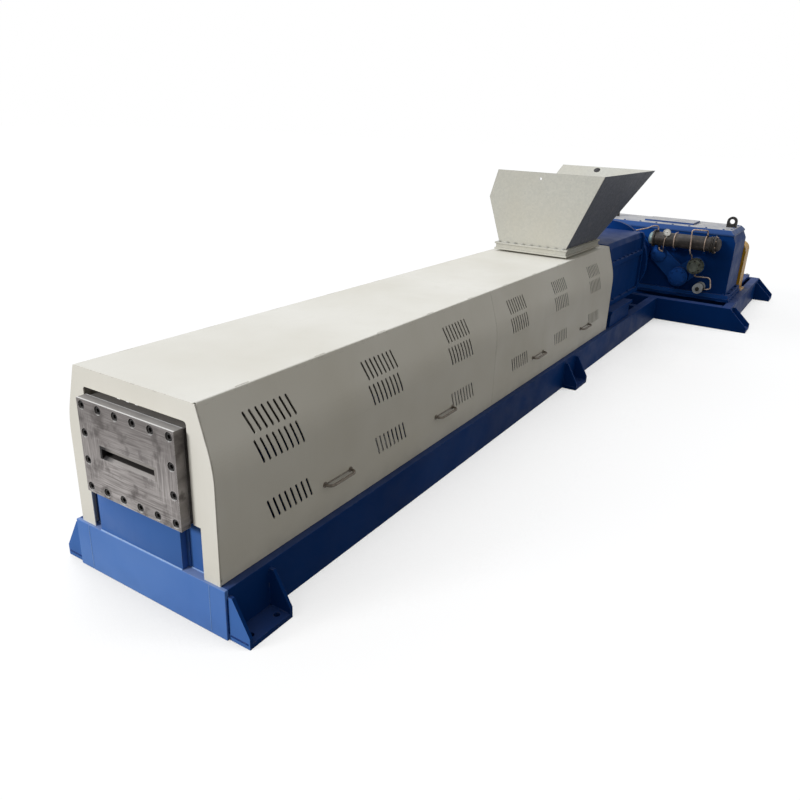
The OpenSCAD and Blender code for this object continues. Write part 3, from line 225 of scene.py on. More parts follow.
def die_steel():
    """Ground steel: tool marks in loops round the slot, stains, bright edges, painted light on the top faces
    with painted highlights along their edges, darker towards the top, darker over the slot's +Y end, and
    painted shade on the slot's walls.
    """
    lo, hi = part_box("die_front_plate")
    middle_z = (lo.z + hi.z) / 2
    f = Finish("die_steel", 0.5, 0.30)
    level_y = f.part_of(f.place, "Y")
    across = f.calc("ABSOLUTE", level_y)
    up = f.calc("ABSOLUTE", f.calc("SUBTRACT", f.part_of(f.place, "Z"), middle_z))
    beyond_end = f.calc("SUBTRACT", across, SLOT_HALF_W)
    loop = f.calc("MAXIMUM", beyond_end, f.calc("SUBTRACT", up, SLOT_HALF_H))
    warped = f.calc("ADD", loop, f.times(f.noise(6, 2), 0.02))
    rings = f.calc("SINE", f.times(warped, 300))
    beside = f.ranged(f.calc("SUBTRACT", across, up), 0.05, 0.09)
    upright = f.noise(9, 5, (1, 28, 1.2))
    level = f.noise(9, 5, (1, 1.2, 28))
    grain = f.calc("ADD", f.times(upright, beside),
                  f.times(level, f.calc("SUBTRACT", 1.0, beside)))
    tone = f.mix(f.ranged(grain, 0.30, 0.70), linear(100, 95, 93), linear(176, 170, 167))
    tone = f.mix(f.ranged(rings, 0.2, 1.0, 0, 0.20), tone, linear(186, 182, 179))
    broad = f.ranged(f.noise(4.5, 4), 0.42, 0.66, 0, 0.5)
    tone = f.mix(broad, tone, linear(98, 92, 90))
    stains = f.ranged(f.noise(17, 6), 0.53, 0.66, 0, 0.75)
    tone = f.mix(stains, tone, linear(66, 60, 58))
    worn = f.ranged(f.edges(0.004), 0, 1, 0, 0.75)
    tone = f.mix(worn, tone, linear(212, 210, 208))
    # Darker towards the top
    darker_to_top = f.ranged(f.part_of(f.place, "Z"), middle_z - 0.06, hi.z - 0.05, 0, 0.50)
    tone = f.mix(darker_to_top, tone, linear(84, 79, 77))
    # Painted light: the top faces take a lighter tone, with painted highlights along their front and rear
    # edges
    along = f.part_of(f.place, "X")
    highlit_top_edges = f.calc("MAXIMUM", f.ranged(along, lo.x + 0.007, lo.x + 0.005),
                      f.ranged(f.calc("ABSOLUTE", f.calc("SUBTRACT", along, hi.x)), 0.005, 0.003))
    lit_top_tone = f.mix(highlit_top_edges, linear(146, 142, 138), linear(226, 224, 220))
    tone = f.mix(f.ranged(f.facing_up(), 0, 1, 0, 0.85), tone, lit_top_tone)
    lip = f.ranged(loop, 0.0115, 0.0095)
    tone = f.mix(lip, tone, linear(132, 127, 123))
    # Darker over the slot's +Y end, and painted shade on the slot's walls and rim
    ragged = f.calc("ADD", level_y, f.times(f.noise(30, 3), 0.03))
    dark_slot_end = f.times(lip, f.ranged(ragged, 0.085, 0.130))
    slot_dark = f.calc("MAXIMUM", dark_slot_end, f.ranged(loop, 0.0012, -0.0004))
    tone = f.mix(slot_dark, tone, linear(22, 20, 20))
    f.bump(f.calc("ADD", grain, f.times(rings, 0.15)), 0.16, 0.001)
    return f.done(tone, f.ranged(f.noise(20, 4), 0.3, 0.7, 0.42, 0.62))


def bare_steel():
    """Turned or drawn steel with fine lines and stains."""
    roughness = 0.36
    f = Finish("bare_steel", roughness, 0.85)
    grain = f.noise(20, 4, (14, 1, 1))
    tone = f.mix(f.ranged(grain, 0.35, 0.65), linear(124, 122, 120), linear(176, 175, 173))
    tone = f.mix(f.ranged(f.noise(13, 5), 0.55, 0.75, 0, 0.4), tone, linear(92, 82, 74))
    f.bump(grain, 0.08, 0.0006)
    return f.done(tone, f.ranged(f.noise(30, 4), 0.3, 0.7, roughness - 0.08, roughness + 0.12))


def galvanised(name, bright, mid, warm):
    """Sheet with zinc spangle, faint rain marks and dull weld heat near its edges."""
    f = Finish(name, 0.5, 0, 0.05)
    spangle = f.part_of(f.cells(85), "X")
    tone = f.mix(f.ranged(spangle, 0, 1, 0, 0.5), bright, mid)
    tone = f.mix(f.ranged(f.noise(2.2, 4), 0.4, 0.7, 0, 0.5), tone, warm)
    marks = f.ranged(f.noise(9, 5, (2.5, 2.5, 0.25)), 0.6, 0.8, 0, 0.35)
    tone = f.mix(marks, tone, linear(158, 156, 148))
    edge = f.times(f.edges(0.005), f.ranged(f.noise(60, 4), 0.4, 0.6, 0.1, 0.55))
    tone = f.mix(edge, tone, linear(128, 126, 122))
    f.bump(f.noise(5, 3), 0.12, 0.004)
    return f.done(tone, f.ranged(spangle, 0, 1, 0.38, 0.56))


def dark_iron(name, low, high, cap=None):
    """Oily cast iron with worn edges; a cap colour covers what lies beyond the cooler's left flange."""
    f = Finish(name, 0.45, 0.15)
    tone = f.mix(f.ranged(f.noise(16, 5), 0.35, 0.65), low, high)
    tone = f.mix(f.ranged(f.noise(42, 5), 0.6, 0.75, 0, 0.5), tone, linear(104, 92, 74))
    if cap:
        beyond = f.ranged(f.part_of(f.place, "Y"), COOLER_Y[0] - 0.002, COOLER_Y[0] + 0.002)
        tone = f.mix(beyond, tone, cap)
    worn = f.times(f.edges(0.003), f.ranged(f.noise(50, 4), 0.45, 0.6, 0, 0.8))
    tone = f.mix(worn, tone, linear(128, 124, 118))
    f.bump(f.noise(130, 4), 0.2, 0.0012)
    return f.done(tone, f.ranged(f.noise(12, 4), 0.3, 0.7, 0.28, 0.6))


def heater_metal():
    """Cast aluminium heaters, browned by heat."""
    f = Finish("heater_metal", 0.5, 0.7)
    tone = f.mix(f.ranged(f.noise(6, 5), 0.35, 0.7), linear(176, 174, 168), linear(142, 132, 116))
    tone = f.mix(f.ranged(f.noise(40, 4), 0.55, 0.75, 0, 0.4), tone, linear(110, 98, 84))
    f.bump(f.noise(150, 3), 0.2, 0.001)
    return f.done(tone, f.ranged(f.noise(18, 3), 0.3, 0.7, 0.4, 0.6))


def small_metal(name, low, high, roughness, metallic):
    """Plated or blackened fasteners and pipes, slightly stained."""
    f = Finish(name, roughness, metallic)
    tone = f.mix(f.ranged(f.noise(60, 4), 0.35, 0.65), low, high)
    tone = f.mix(f.ranged(f.noise(170, 3), 0.62, 0.75, 0, 0.4), tone, GRIME)
    f.bump(f.noise(420, 2), 0.12, 0.0004)
    return f.done(tone, f.ranged(f.noise(90, 3), 0.3, 0.7, roughness - 0.06, roughness + 0.10))


def dial_white():
    """A printed dial, a little yellowed."""
    roughness = 0.3
    f = Finish("dial_white", roughness)
    tone = f.mix(f.ranged(f.noise(80, 3), 0.4, 0.7), linear(236, 236, 232), linear(218, 216, 208))
    return f.done(tone, roughness)


# Paints: colour, shade, gloss, shine, dust, chips, lowest height, and a lit colour with its limit: painted
# light on forward faces
PAINTS = {
    "cream_paint": (linear(222, 219, 210), linear(210, 206, 194), 0.46, 0.12, 0.08, 0.30, 0.20),
    "blue_paint": (BLUE, BLUE_SHADE, 0.40, 0.012, 0.09, 0.40, 0.0),
    # feet_blue: painted light, the forward faces of the front feet in a lighter blue
    "feet_blue": (BLUE, BLUE_SHADE, 0.40, 0.012, 0.04, 0.40, 0.0, (MID_BLUE, FEET_END)),
    # case_blue: painted light, the forward faces of the gearbox's raised arms and front caps in a lighter
    # blue
    "case_blue": (BLUE, BLUE_SHADE, 0.40, 0.012, 0.09, 0.40, 0.0, (linear(36, 84, 158), ARM_END)),
    # mid_blue: a lit copy of the blue, darker than the front plate's for the die's shadow on the pedestal:
    # painted light and painted shade
    "mid_blue": (MID_BLUE, linear(54, 92, 154), 0.38, 0.06, 0.30, 0.80, 0.0),
    # worn_blue: chipped and dusty, and lighter than BLUE for the lit front plate: painted light
    "worn_blue": (linear(88, 126, 188), linear(72, 111, 176), 0.38, 0.06, 0.30, 0.80, 0.0),
    # dusty_blue: real dust on top, and lighter than BLUE for the lit lid: painted light
    "dusty_blue": (linear(50, 78, 128), linear(38, 62, 110), 0.40, 0.03, 0.95, 0.60, 0.0),
    # pale_blue: the welds on the base front, lighter than their paint: painted highlight
    "pale_blue": (linear(150, 178, 216), linear(116, 152, 204), 0.40, 0.10, 0.30, 0.30, 0.0),
    "yellow_paint": (linear(214, 164, 52), linear(186, 138, 36), 0.40, 0.10, 0.12, 0.80, 0.20),
    "grey_paint": (linear(188, 190, 188), linear(160, 162, 160), 0.40, 0.20, 0.10, 0.60, 0.20),
}
# Zinc sheets: bright, mid and warm tone
ZINCS = {
    "galvanised_sheet": (linear(186, 185, 176), linear(168, 168, 162), linear(180, 175, 160)),
    # dull_zinc: the same galvanised sheet, darker for the hopper's shaded right wall: painted shade
    "dull_zinc": (linear(100, 104, 114), linear(84, 88, 99), linear(92, 95, 102)),
}
# Cast irons: low and high tone, and the colour of a cap
IRONS = {
    "dark_iron": (linear(38, 35, 33), linear(66, 60, 56)),
    "cooler_iron": (linear(38, 35, 33), linear(66, 60, 56), linear(112, 130, 128)),
    "pump_iron": (linear(76, 82, 74), linear(118, 122, 110)),
}
# Small metals: low and high tone, roughness, metallic share
SMALL_METALS = {
    "handle_steel": (linear(92, 85, 76), linear(132, 123, 112), 0.45, 0.2),
    "bolt_black": (linear(24, 23, 23), linear(48, 46, 45), 0.42, 0.4),
    "bolt_zinc": (linear(150, 150, 146), linear(186, 184, 176), 0.36, 0.6),
    "pipe_metal": (linear(158, 136, 120), linear(196, 175, 158), 0.36, 0.4),
}
FINISHES = {"heater_metal": heater_metal(), "die_steel": die_steel(), "bare_steel": bare_steel(),
            "dial_white": dial_white()}
for make, table in ((painted, PAINTS), (galvanised, ZINCS), (dark_iron, IRONS), (small_metal, SMALL_METALS)):
    FINISHES.update({name: make(name, *values) for name, values in table.items()})

# Nodes whose finish differs from that of their slot
OWN_FINISH = {
    "die_front_plate": "die_steel", "die_back_plate": "die_steel",
    # front_plate, front_pedestal, rail_feet, gearbox_case and gearbox_lid get lit copies of the blue paint,
    # and hopper_right_wall a shaded copy of its zinc: painted light and painted shade
    "front_plate": "worn_blue", "front_pedestal": "mid_blue", "rail_feet": "feet_blue",
    "gearbox_case": "case_blue", "gearbox_lid": "dusty_blue", "lifting_lugs": "bolt_black",
    "oil_pump": "pump_iron", "oil_cooler": "cooler_iron", "hopper_right_wall": "dull_zinc",
}
OWN_FINISH.update({door.replace("door", "handles"): "handle_steel" for door in DOORS})


def dress_nodes():
    """Gives each CAD node its own finish, or else that of its material slot."""
    for part in frame["record"]["subparts"]:
        name = part["node"]
        finish = OWN_FINISH.get(name, part["material_slot"])
        nodes[name].data.materials.clear()
        nodes[name].data.materials.append(FINISHES[finish])


SOFT_EDGES = {
    0.0025: ["right_rail", "left_rail", "front_plate", "cross_members", "drive_end_beams", "drive_side_rails",
             "drive_mid_beams", "gearbox_bed", "front_pedestal", "feed_pedestal", "rail_feet", "drive_feet",
             "motor_rails"],
    0.0015: ["die_front_plate", "die_back_plate", "hopper_collar"],
    0.006: ["feed_housing", "gearbox_case", "gearbox_lid"],
}


def soften_edges():
    """Rolls or breaks the sharp edges of the plain solids by modifiers."""
    for width, names in SOFT_EDGES.items():
        for name in names:
            stack = nodes[name].modifiers
            stack.new("weld", "WELD").merge_threshold = 5e-5
            flat = stack.new("flat", "DECIMATE")
            flat.decimate_type = "DISSOLVE"
            flat.angle_limit = math.radians(0.4)
            bevel = stack.new("bevel", "BEVEL")
            bevel.width = width
            bevel.segments = 2
            bevel.limit_method = "ANGLE"
            bevel.angle_limit = math.radians(35)
            stack.new("normals", "WEIGHTED_NORMAL").keep_sharp = True


def turn_to(axis):
    """A rotation that takes +Z to the axis."""
    return Z_AXIS.rotation_difference(Vector(axis).normalized()).to_matrix()


def rounded_path(points, bend, steps=6):
    """A path of points with its inner corners rounded."""
    points = [Vector(p) for p in points]
    path = [points[0]]
    for before, corner, after in zip(points, points[1:], points[2:]):
        reach = min(bend, (before - corner).length * 0.48, (after - corner).length * 0.48)
        start = corner + (before - corner).normalized() * reach
        end = corner + (after - corner).normalized() * reach
        for i in range(steps + 1):
            t = i / steps
            path.append(start * (1 - t) ** 2 + corner * 2 * t * (1 - t) + end * t ** 2)
    path.append(points[-1])
    return path


class Shape:
    """The mesh of one piece, gathered from turned, swept and boxed forms."""

    def __init__(self):
        self.mesh = bmesh.new()

    def band(self, rings, hoop):
        """Joins rings of points by faces, and in a hoop the last to the first."""
        loops = [[self.mesh.verts.new(p) for p in ring] for ring in rings]
        for first, second in zip(loops, loops[1:] + loops[:1] if hoop else loops[1:]):
            for i in range(len(first)):
                j = (i + 1) % len(first)
                self.mesh.faces.new((first[i], first[j], second[j], second[i]))
        return loops

    def skin(self, rings):
        """Joins rings of points into a closed tube with flat ends."""
        loops = self.band(rings, False)
        self.mesh.faces.new(loops[0][::-1])
        self.mesh.faces.new(loops[-1])

    def turned(self, profile, at, axis, sides=24):
        """A form turned round an axis; the profile holds (radius, height) pairs."""
        basis = turn_to(axis)
        turns = [2 * math.pi * i / sides for i in range(sides)]
        self.skin([[at + basis @ Vector((r * math.cos(a), r * math.sin(a), h)) for a in turns]
                   for r, h in profile])

    def socket_head(self, at, axis, radius, height):
        """A round head with a hexagonal recess, standing on a point."""
        basis = turn_to(axis)
        sides = 24
        rings = []
        flat = radius * 0.5
        edge = radius * 0.12
        profile = ((radius, 0, False), (radius, height - edge, False), (radius - edge, height, False),
                   (flat, height, True), (flat, height * 0.35, True))
        for r, h, hexed in profile:
            ring = []
            for i in range(sides):
                a = 2 * math.pi * i / sides
                reach = r / math.cos((a + math.pi / 6) % (math.pi / 3) - math.pi / 6) if hexed else r
                ring.append(at + basis @ Vector((reach * math.cos(a), reach * math.sin(a), h)))
            rings.append(ring)
        self.skin(rings)

    def hex_bolt(self, at, axis, size):
        """A hexagon head on its washer; the size is the thread's diameter."""
        washer, head = size * 0.17, size * 0.64
        self.turned([(size, 0), (size, washer * 0.7), (size * 0.95, washer)], at, axis, 20)
        r = size * 0.87
        start = at + Vector(axis).normalized() * washer
        self.turned([(r, 0), (r, head * 0.78), (r * 0.84, head)], start, axis, 6)

    def upright(self, x, y, z, size):
        """A hexagon bolt that stands upright."""
        self.hex_bolt(Vector((x, y, z)), Z_AXIS, size)

    def bolts(self, places, axis, size):
        """Hexagon bolts at some places."""
        for place in places:
            self.hex_bolt(place, axis, size)

    def nut_and_stud(self, at, axis, size, stud):
        """A nut on its washer with the end of its stud."""
        self.hex_bolt(at, axis, size)
        start = at + Vector(axis).normalized() * size * 0.75
        self.turned([(size / 2, 0), (size / 2, stud * 0.85), (size * 0.38, stud)], start, axis, 16)

    def swept(self, path, radius, sides=10, radii=None):
        """A round bar along a path of points."""
        path = [Vector(p) for p in path]
        ahead = (path[1] - path[0]).normalized()
        side = ahead.orthogonal().normalized()
        rings = []
        for i, point in enumerate(path):
            new = (path[min(i + 1, len(path) - 1)] - path[max(i - 1, 0)]).normalized()
            side = ahead.rotation_difference(new) @ side
            ahead = new
            up = ahead.cross(side)
            r = radii[i] if radii else radius
            turns = [2 * math.pi * k / sides for k in range(sides)]
            rings.append([point + side * (r * math.cos(a)) + up * (r * math.sin(a)) for a in turns])
        self.skin(rings)

    def weld(self, start, end, width):
        """A weld bead with ripples and a slightly unsteady line."""
        start, end = Vector(start), Vector(end)
        count = max(4, int((end - start).length / (width * 0.4)))
        path = []
        radii = []
        for i in range(count + 1):
            wobble = Vector((RANDOM.uniform(-1, 1), RANDOM.uniform(-1, 1), RANDOM.uniform(-1, 1)))
            path.append(start.lerp(end, i / count) + wobble * width * 0.05)
            radii.append(width / 2 * (1.06 if i % 2 else 0.88) * (0.6 if i in (0, count) else 1))
        self.swept(path, width / 2, 8, radii)

    def slab(self, low, high, edge):
        """A box with broken edges."""
        low, high = Vector(low), Vector(high)
        size = high - low
        place = Matrix.Translation((low + high) / 2) @ Matrix.Diagonal((*size, 1))
        made = bmesh.ops.create_cube(self.mesh, size=1, matrix=place)
        edges = {e for v in made["verts"] for e in v.link_edges}
        bmesh.ops.bevel(self.mesh, geom=list(edges), offset=edge, segments=2, affect="EDGES", profile=0.5)

    def done(self, name, slot, finish, body="machine"):
        """Turns the mesh into a piece with a finish, riding on a body."""
        bmesh.ops.recalc_face_normals(self.mesh, faces=self.mesh.faces)
        data = bpy.data.meshes.new(name)
        self.mesh.to_mesh(data)
        self.mesh.free()
        data.materials.append(FINISHES[finish])
        for polygon in data.polygons:
            polygon.use_smooth = True
        data.set_sharp_from_angle(angle=math.radians(38))
        piece = add_object(name, data)
        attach(piece, body)


def spread(low, high, count):
    """Evenly spaced places from one value to another."""
    return [low + (high - low) * i / (count - 1) for i in range(count)]


def ring_of(centre, axis, radius, count, start=0.0):
    """Places on a circle round an axis."""
    basis = turn_to(axis)
    turns = [start + 2 * math.pi * i / count for i in range(count)]
    return [centre + basis @ Vector((radius * math.cos(a), radius * math.sin(a), 0)) for a in turns]


# Sizes repeated from the part
AXIS_Z = 0.566
RAIL_H = 0.200
SHEET_T = 0.003
HOOD_TOP = 0.842
HOOD_TOP_HALF = 0.300
HOOD_SIDE_HALF = 0.365
SIDE_LEAN = math.radians(17.2)
BEND_R = 0.440
BEND_STEPS = 8
DOOR_GAP = 0.006
BEAD_R = 0.005
BEAD_DROP = 0.0002
KNUCKLES = 5
KNUCKLE_LEN = 0.060
KNUCKLE_PLAY = 0.002

# Bolts by thread diameter
M7, M9, M10, M14, M20 = 0.007, 0.009, 0.010, 0.014, 0.020

# Die bolts: distance from the plate's edge, depth of the counterbore, radius and clearance of the head
DIE_BOLT_EDGE = 0.024
DIE_BOLT_DEPTH = 0.014
DIE_BOLT_R = 0.0148
DIE_BOLT_SHY = 0.003


def die_bolts():
    """Socket heads deep in the die's counterbores."""
    lo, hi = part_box("die_front_plate")
    shape = Shape()
    x = lo.x + DIE_BOLT_DEPTH
    left, right = hi.y - DIE_BOLT_EDGE, lo.y + DIE_BOLT_EDGE
    low, top = lo.z + DIE_BOLT_EDGE, hi.z - DIE_BOLT_EDGE
    places = [(y, z) for y in spread(right, left, 6) for z in (low, top)]
    places += [(y, z) for y in (right, left) for z in spread(low, top, 4)[1:3]]
    for y, z in places:
        shape.socket_head(Vector((x, y, z)), -X_AXIS, DIE_BOLT_R, DIE_BOLT_DEPTH - DIE_BOLT_SHY)
    shape.done("die_bolts", "bare_steel", "bolt_black")


# Welds of the base, and the feet that they follow
FRONT_SEAM = 0.075
SEAM_LOW, SEAM_SHY, SEAM_BEAD = 0.01, 0.004, 0.0025
FOOT_PLATE = 0.020
FOOT_LEN = 0.215
MID_FOOT_X = 3.250
GUSSET = 0.014
GUSSET_LOW, GUSSET_TOP = 0.006, 0.168
GUSSET_NEAR, GUSSET_FAR = 0.008, 0.088
FOOT_BEAD = 0.007
BED_FIRST, BED_LAST, BED_RUN = 0.03, 0.11, 0.08
BED_UP, BED_BEAD = 0.002, 0.008


def base_welds():
    """Weld beads on the base: the front plate's seams, the gussets of the feet and the gearbox bed."""
    seams = Shape()
    lo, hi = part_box("front_plate")
    for side in (-1, 1):
        y = side * (hi.y - FRONT_SEAM)
        seams.weld((lo.x, y, SEAM_LOW), (lo.x, y, RAIL_H - SEAM_SHY), SEAM_BEAD)
    # Pale blue seams: painted highlight
    seams.done("front_plate_seams", "blue_paint", "pale_blue")
    shape = Shape()
    for side in (-1, 1):
        rail_y = side * hi.y
        near, far = rail_y + side * GUSSET_NEAR, rail_y + side * GUSSET_FAR
        for x0 in (0, MID_FOOT_X - FOOT_LEN / 2):
            for x in (x0, x0 + GUSSET, x0 + FOOT_LEN - GUSSET, x0 + FOOT_LEN):
                shape.weld((x, rail_y, FOOT_PLATE + GUSSET_LOW), (x, rail_y, GUSSET_TOP), FOOT_BEAD)
                shape.weld((x, near, FOOT_PLATE), (x, far, FOOT_PLATE), FOOT_BEAD)
    lo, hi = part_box("gearbox_bed")
    z = lo.z + BED_UP
    for y in (lo.y, hi.y):
        for x in spread(lo.x + BED_FIRST, hi.x - BED_LAST, 5):
            shape.weld((x, y, z), (x + BED_RUN, y, z), BED_BEAD)
    for x in (lo.x, hi.x):
        for y in spread(lo.y + BED_FIRST, hi.y - BED_LAST, 8):
            shape.weld((x, y, z), (x, y + BED_RUN, z), BED_BEAD)
    shape.done("base_welds", "blue_paint", "blue_paint")


# Plates of the front pedestal
PEDESTAL_HALF = 0.200
PEDESTAL_TOP = 0.380
PEDESTAL_FACE = -0.004
FACE_RIGHT, FACE_LEFT = -0.190, 0.250
WING_STEP = 0.005
WING_T = 0.013
WING_END = 0.308
PLATE_GAP, PLATE_EDGE = 0.0005, 0.002
WELD_OUT, WING_BEAD, FACE_BEAD = 0.001, 0.006, 0.007


def pedestal_wings():
    """The pedestal's face plate, the plates beside it behind the hood's legs, and the weld along its foot."""
    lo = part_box("front_pedestal")[0]
    plates = Shape()
    welds = Shape()
    face_x = lo.x + WING_STEP
    weld_x = face_x - WELD_OUT
    for side in (-1, 1):
        inner, outer = sorted((side * (PEDESTAL_HALF + PLATE_GAP), side * WING_END))
        plates.slab((face_x, inner, lo.z), (face_x + WING_T, outer, PEDESTAL_TOP), PLATE_EDGE)
        welds.weld((weld_x, inner, lo.z), (weld_x, outer, lo.z), WING_BEAD)
    plates.slab((PEDESTAL_FACE, FACE_RIGHT, lo.z), (lo.x - PLATE_GAP, FACE_LEFT, PEDESTAL_TOP), PLATE_EDGE)
    plates.done("pedestal_wings", "blue_paint", "mid_blue")
    weld_x = PEDESTAL_FACE - WELD_OUT
    # Pale blue foot weld: painted highlight
    welds.weld((weld_x, FACE_RIGHT, lo.z), (weld_x, FACE_LEFT, lo.z), FACE_BEAD)
    welds.done("pedestal_welds", "blue_paint", "pale_blue")


# How far the doors' folded edges reach into the end gaps and the middle seam, and how deep they lie
END_HEM = 0.0045
SEAM_HEM = 0.00225
HEM_LAP = 0.006
HEM_SHY = 0.0001
SKIRT_GAP = 0.0035
# Section of the strip over the hinge line: how far down the door and how deep
HINGE_STRIP = ((0.0130, HEM_SHY), (0.0130, 0.0026), (0.0062, 0.0026), (0.0045, 0.0008), (0.0010, 0.0008),
               (0.0010, HEM_SHY))


def side_of(name):
    """-1 for a piece on the right, 1 for one on the left."""
    return -1 if name.startswith("right") else 1


def hood_side(depth, top, low):
    """Points down the hood's right side at a depth inside its outer face, as (outward, up) pairs."""
    bend_run = HOOD_SIDE_HALF - HOOD_TOP_HALF - BEND_R * (1 - math.cos(SIDE_LEAN))
    bend_z = HOOD_TOP - bend_run / math.tan(SIDE_LEAN) - BEND_R * math.sin(SIDE_LEAN)
    rise = HOOD_TOP - depth * math.sin(SIDE_LEAN) - top
    points = [(HOOD_TOP_HALF - depth * math.cos(SIDE_LEAN) + rise * math.tan(SIDE_LEAN), top)]
    for i in range(BEND_STEPS + 1):
        a = SIDE_LEAN * (1 - i / BEND_STEPS)
        reach = BEND_R - depth
        points.append((HOOD_SIDE_HALF - BEND_R + reach * math.cos(a), bend_z + reach * math.sin(a)))
    return points + [(HOOD_SIDE_HALF - depth, low)]


def hinge_cover():
    """Places the strip's section, which carries a door's skin up past the rolled hinge edge."""
    bead = Vector((HOOD_TOP_HALF - BEAD_R, HOOD_TOP - BEAD_R - BEAD_DROP))
    outward = Vector((math.cos(SIDE_LEAN), math.sin(SIDE_LEAN)))
    down = Vector((math.sin(SIDE_LEAN), -math.cos(SIDE_LEAN)))
    foot = bead + outward * (Vector((HOOD_TOP_HALF, HOOD_TOP)) - bead).dot(outward)
    return [foot + down * along - outward * depth for along, depth in HINGE_STRIP]


def door_hems():
    """Folded edges of the doors: they narrow the gaps at the ends and the rail, and cover the hinge line."""
    bead_low = HOOD_TOP - 2 * BEAD_R - BEAD_DROP
    top = bead_low - DOOR_GAP / math.sqrt(2)
    skirt_in, skirt_out = HOOD_SIDE_HALF - SHEET_T + HEM_SHY, HOOD_SIDE_HALF - HEM_SHY
    for name in DOORS:
        lo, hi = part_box(name)
        side = side_of(name)
        front_reach, rear_reach = (END_HEM, SEAM_HEM) if "front" in name else (SEAM_HEM, END_HEM)
        start, end = lo.x - front_reach, hi.x + rear_reach
        fold = hood_side(HEM_SHY, top, lo.z) + hood_side(SHEET_T - HEM_SHY, top, lo.z)[::-1]
        skirt_low, skirt_top = RAIL_H + SKIRT_GAP, lo.z + HEM_LAP
        skirt = [(skirt_in, skirt_low), (skirt_out, skirt_low), (skirt_out, skirt_top), (skirt_in, skirt_top)]
        shape = Shape()
        for section, x0, x1 in ((fold, start, lo.x + HEM_LAP), (fold, hi.x - HEM_LAP, end),
                                (skirt, start, end), (hinge_cover(), start, end)):
            shape.skin([[Vector((x, side * y, z)) for y, z in section] for x in (x0, x1)])
        shape.done(name + "_hem", "cream_paint", "cream_paint", name)


# Liners of the hinge: discs beside the knuckles, and strips behind them
LINER_SHY, LINER_EDGE, LINER_T = 0.0001, 0.0003, 0.0021
LINER_LAP, LINER_GAP = 0.0005, 0.0004
STRIP_BACK, STRIP_OUT, STRIP_DEEP = 0.001, 0.0018, 0.0026


def hinge_liners():
    """Discs and strips that narrow the gaps round the doors' knuckles in the hood's rolled edges."""
    shape = Shape()
    bead_z = HOOD_TOP - BEAD_R - BEAD_DROP
    rim = BEAD_R - LINER_SHY
    disc = [(rim - LINER_EDGE, 0), (rim, LINER_EDGE), (rim, LINER_T - LINER_EDGE),
            (rim - LINER_EDGE, LINER_T)]
    for name in DOORS:
        lo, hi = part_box(name)
        side = side_of(name)
        bead_y = side * (HOOD_TOP_HALF - BEAD_R)
        notch_y = side * (HOOD_TOP_HALF - 2 * BEAD_R - KNUCKLE_PLAY)
        inner, outer = sorted((notch_y - side * STRIP_BACK, notch_y + side * STRIP_OUT))
        pitch = (hi.x - lo.x) / KNUCKLES
        for i in range(KNUCKLES):
            start = lo.x + pitch * (i + 0.5) - KNUCKLE_LEN / 2
            end = start + KNUCKLE_LEN
            before, after = start - KNUCKLE_PLAY - LINER_LAP, end + KNUCKLE_PLAY + LINER_LAP
            for x in (before, end + LINER_GAP):
                shape.turned(disc, Vector((x, bead_y, bead_z)), X_AXIS, 24)
            shape.slab((before, inner, HOOD_TOP - STRIP_DEEP),
                       (after, outer, HOOD_TOP - LINER_SHY), LINER_EDGE)
    shape.done("hinge_liners", "cream_paint", "cream_paint")


# Pull handles: length between their feet, radius of a foot, and the strip's thickness, half height and edge
HANDLE_LEN = 0.165
HANDLE_FOOT_R = 0.012
HANDLE_STRIP_T, HANDLE_STRIP_H, HANDLE_STRIP_EDGE = 0.002, 0.0035, 0.0006


def handle_strips():
    """Flat strips under the pull handles, between their feet."""
    for name in DOORS:
        lo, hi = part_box(name.replace("door", "handles"))
        face = side_of(name) * HOOD_SIDE_HALF
        near, far = sorted((face, face + side_of(name) * HANDLE_STRIP_T))
        middle = (lo.z + hi.z) / 2
        low, top = middle - HANDLE_STRIP_H, middle + HANDLE_STRIP_H
        shape = Shape()
        for x0 in (lo.x + HANDLE_FOOT_R, hi.x - HANDLE_FOOT_R - HANDLE_LEN):
            shape.slab((x0, near, low), (x0 + HANDLE_LEN, far, top), HANDLE_STRIP_EDGE)
        shape.done(name.replace("door", "handle_strips"), "bare_steel", "handle_steel", name)


# Hopper: the plugged hole's distance from the top, the plug's profile, and the welds
HOLE_DROP = 0.040
PLUG = ((0.0222, -0.006), (0.0222, 0.0006), (0.0255, 0.0006), (0.0255, 0.002), (0.0225, 0.004))
COLLAR_LEDGE = 0.020
CORNER_IN, CORNER_LOW, CORNER_TOP = 0.002, 0.01, 0.005
CORNER_BEAD, SEAT_BEAD = 0.005, 0.006
COLLAR_BOLT_END, COLLAR_BOLT_IN = 0.03, 0.014


def hopper_plug():
    """Black plug in the round hole near the top of the hopper's back wall."""
    lo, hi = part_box("hopper_back_wall")
    slope = Vector((hi.x - lo.x - SHEET_T, 0, hi.z - lo.z))
    at = Vector((lo.x, 0, lo.z)) + slope * (1 - HOLE_DROP / slope.length)
    inward = Vector((-slope.z, 0, slope.x)).normalized()
    shape = Shape()
    shape.turned(PLUG, at, inward, 32)
    shape.done("hopper_hole_plug", "dark_iron", "bolt_black")


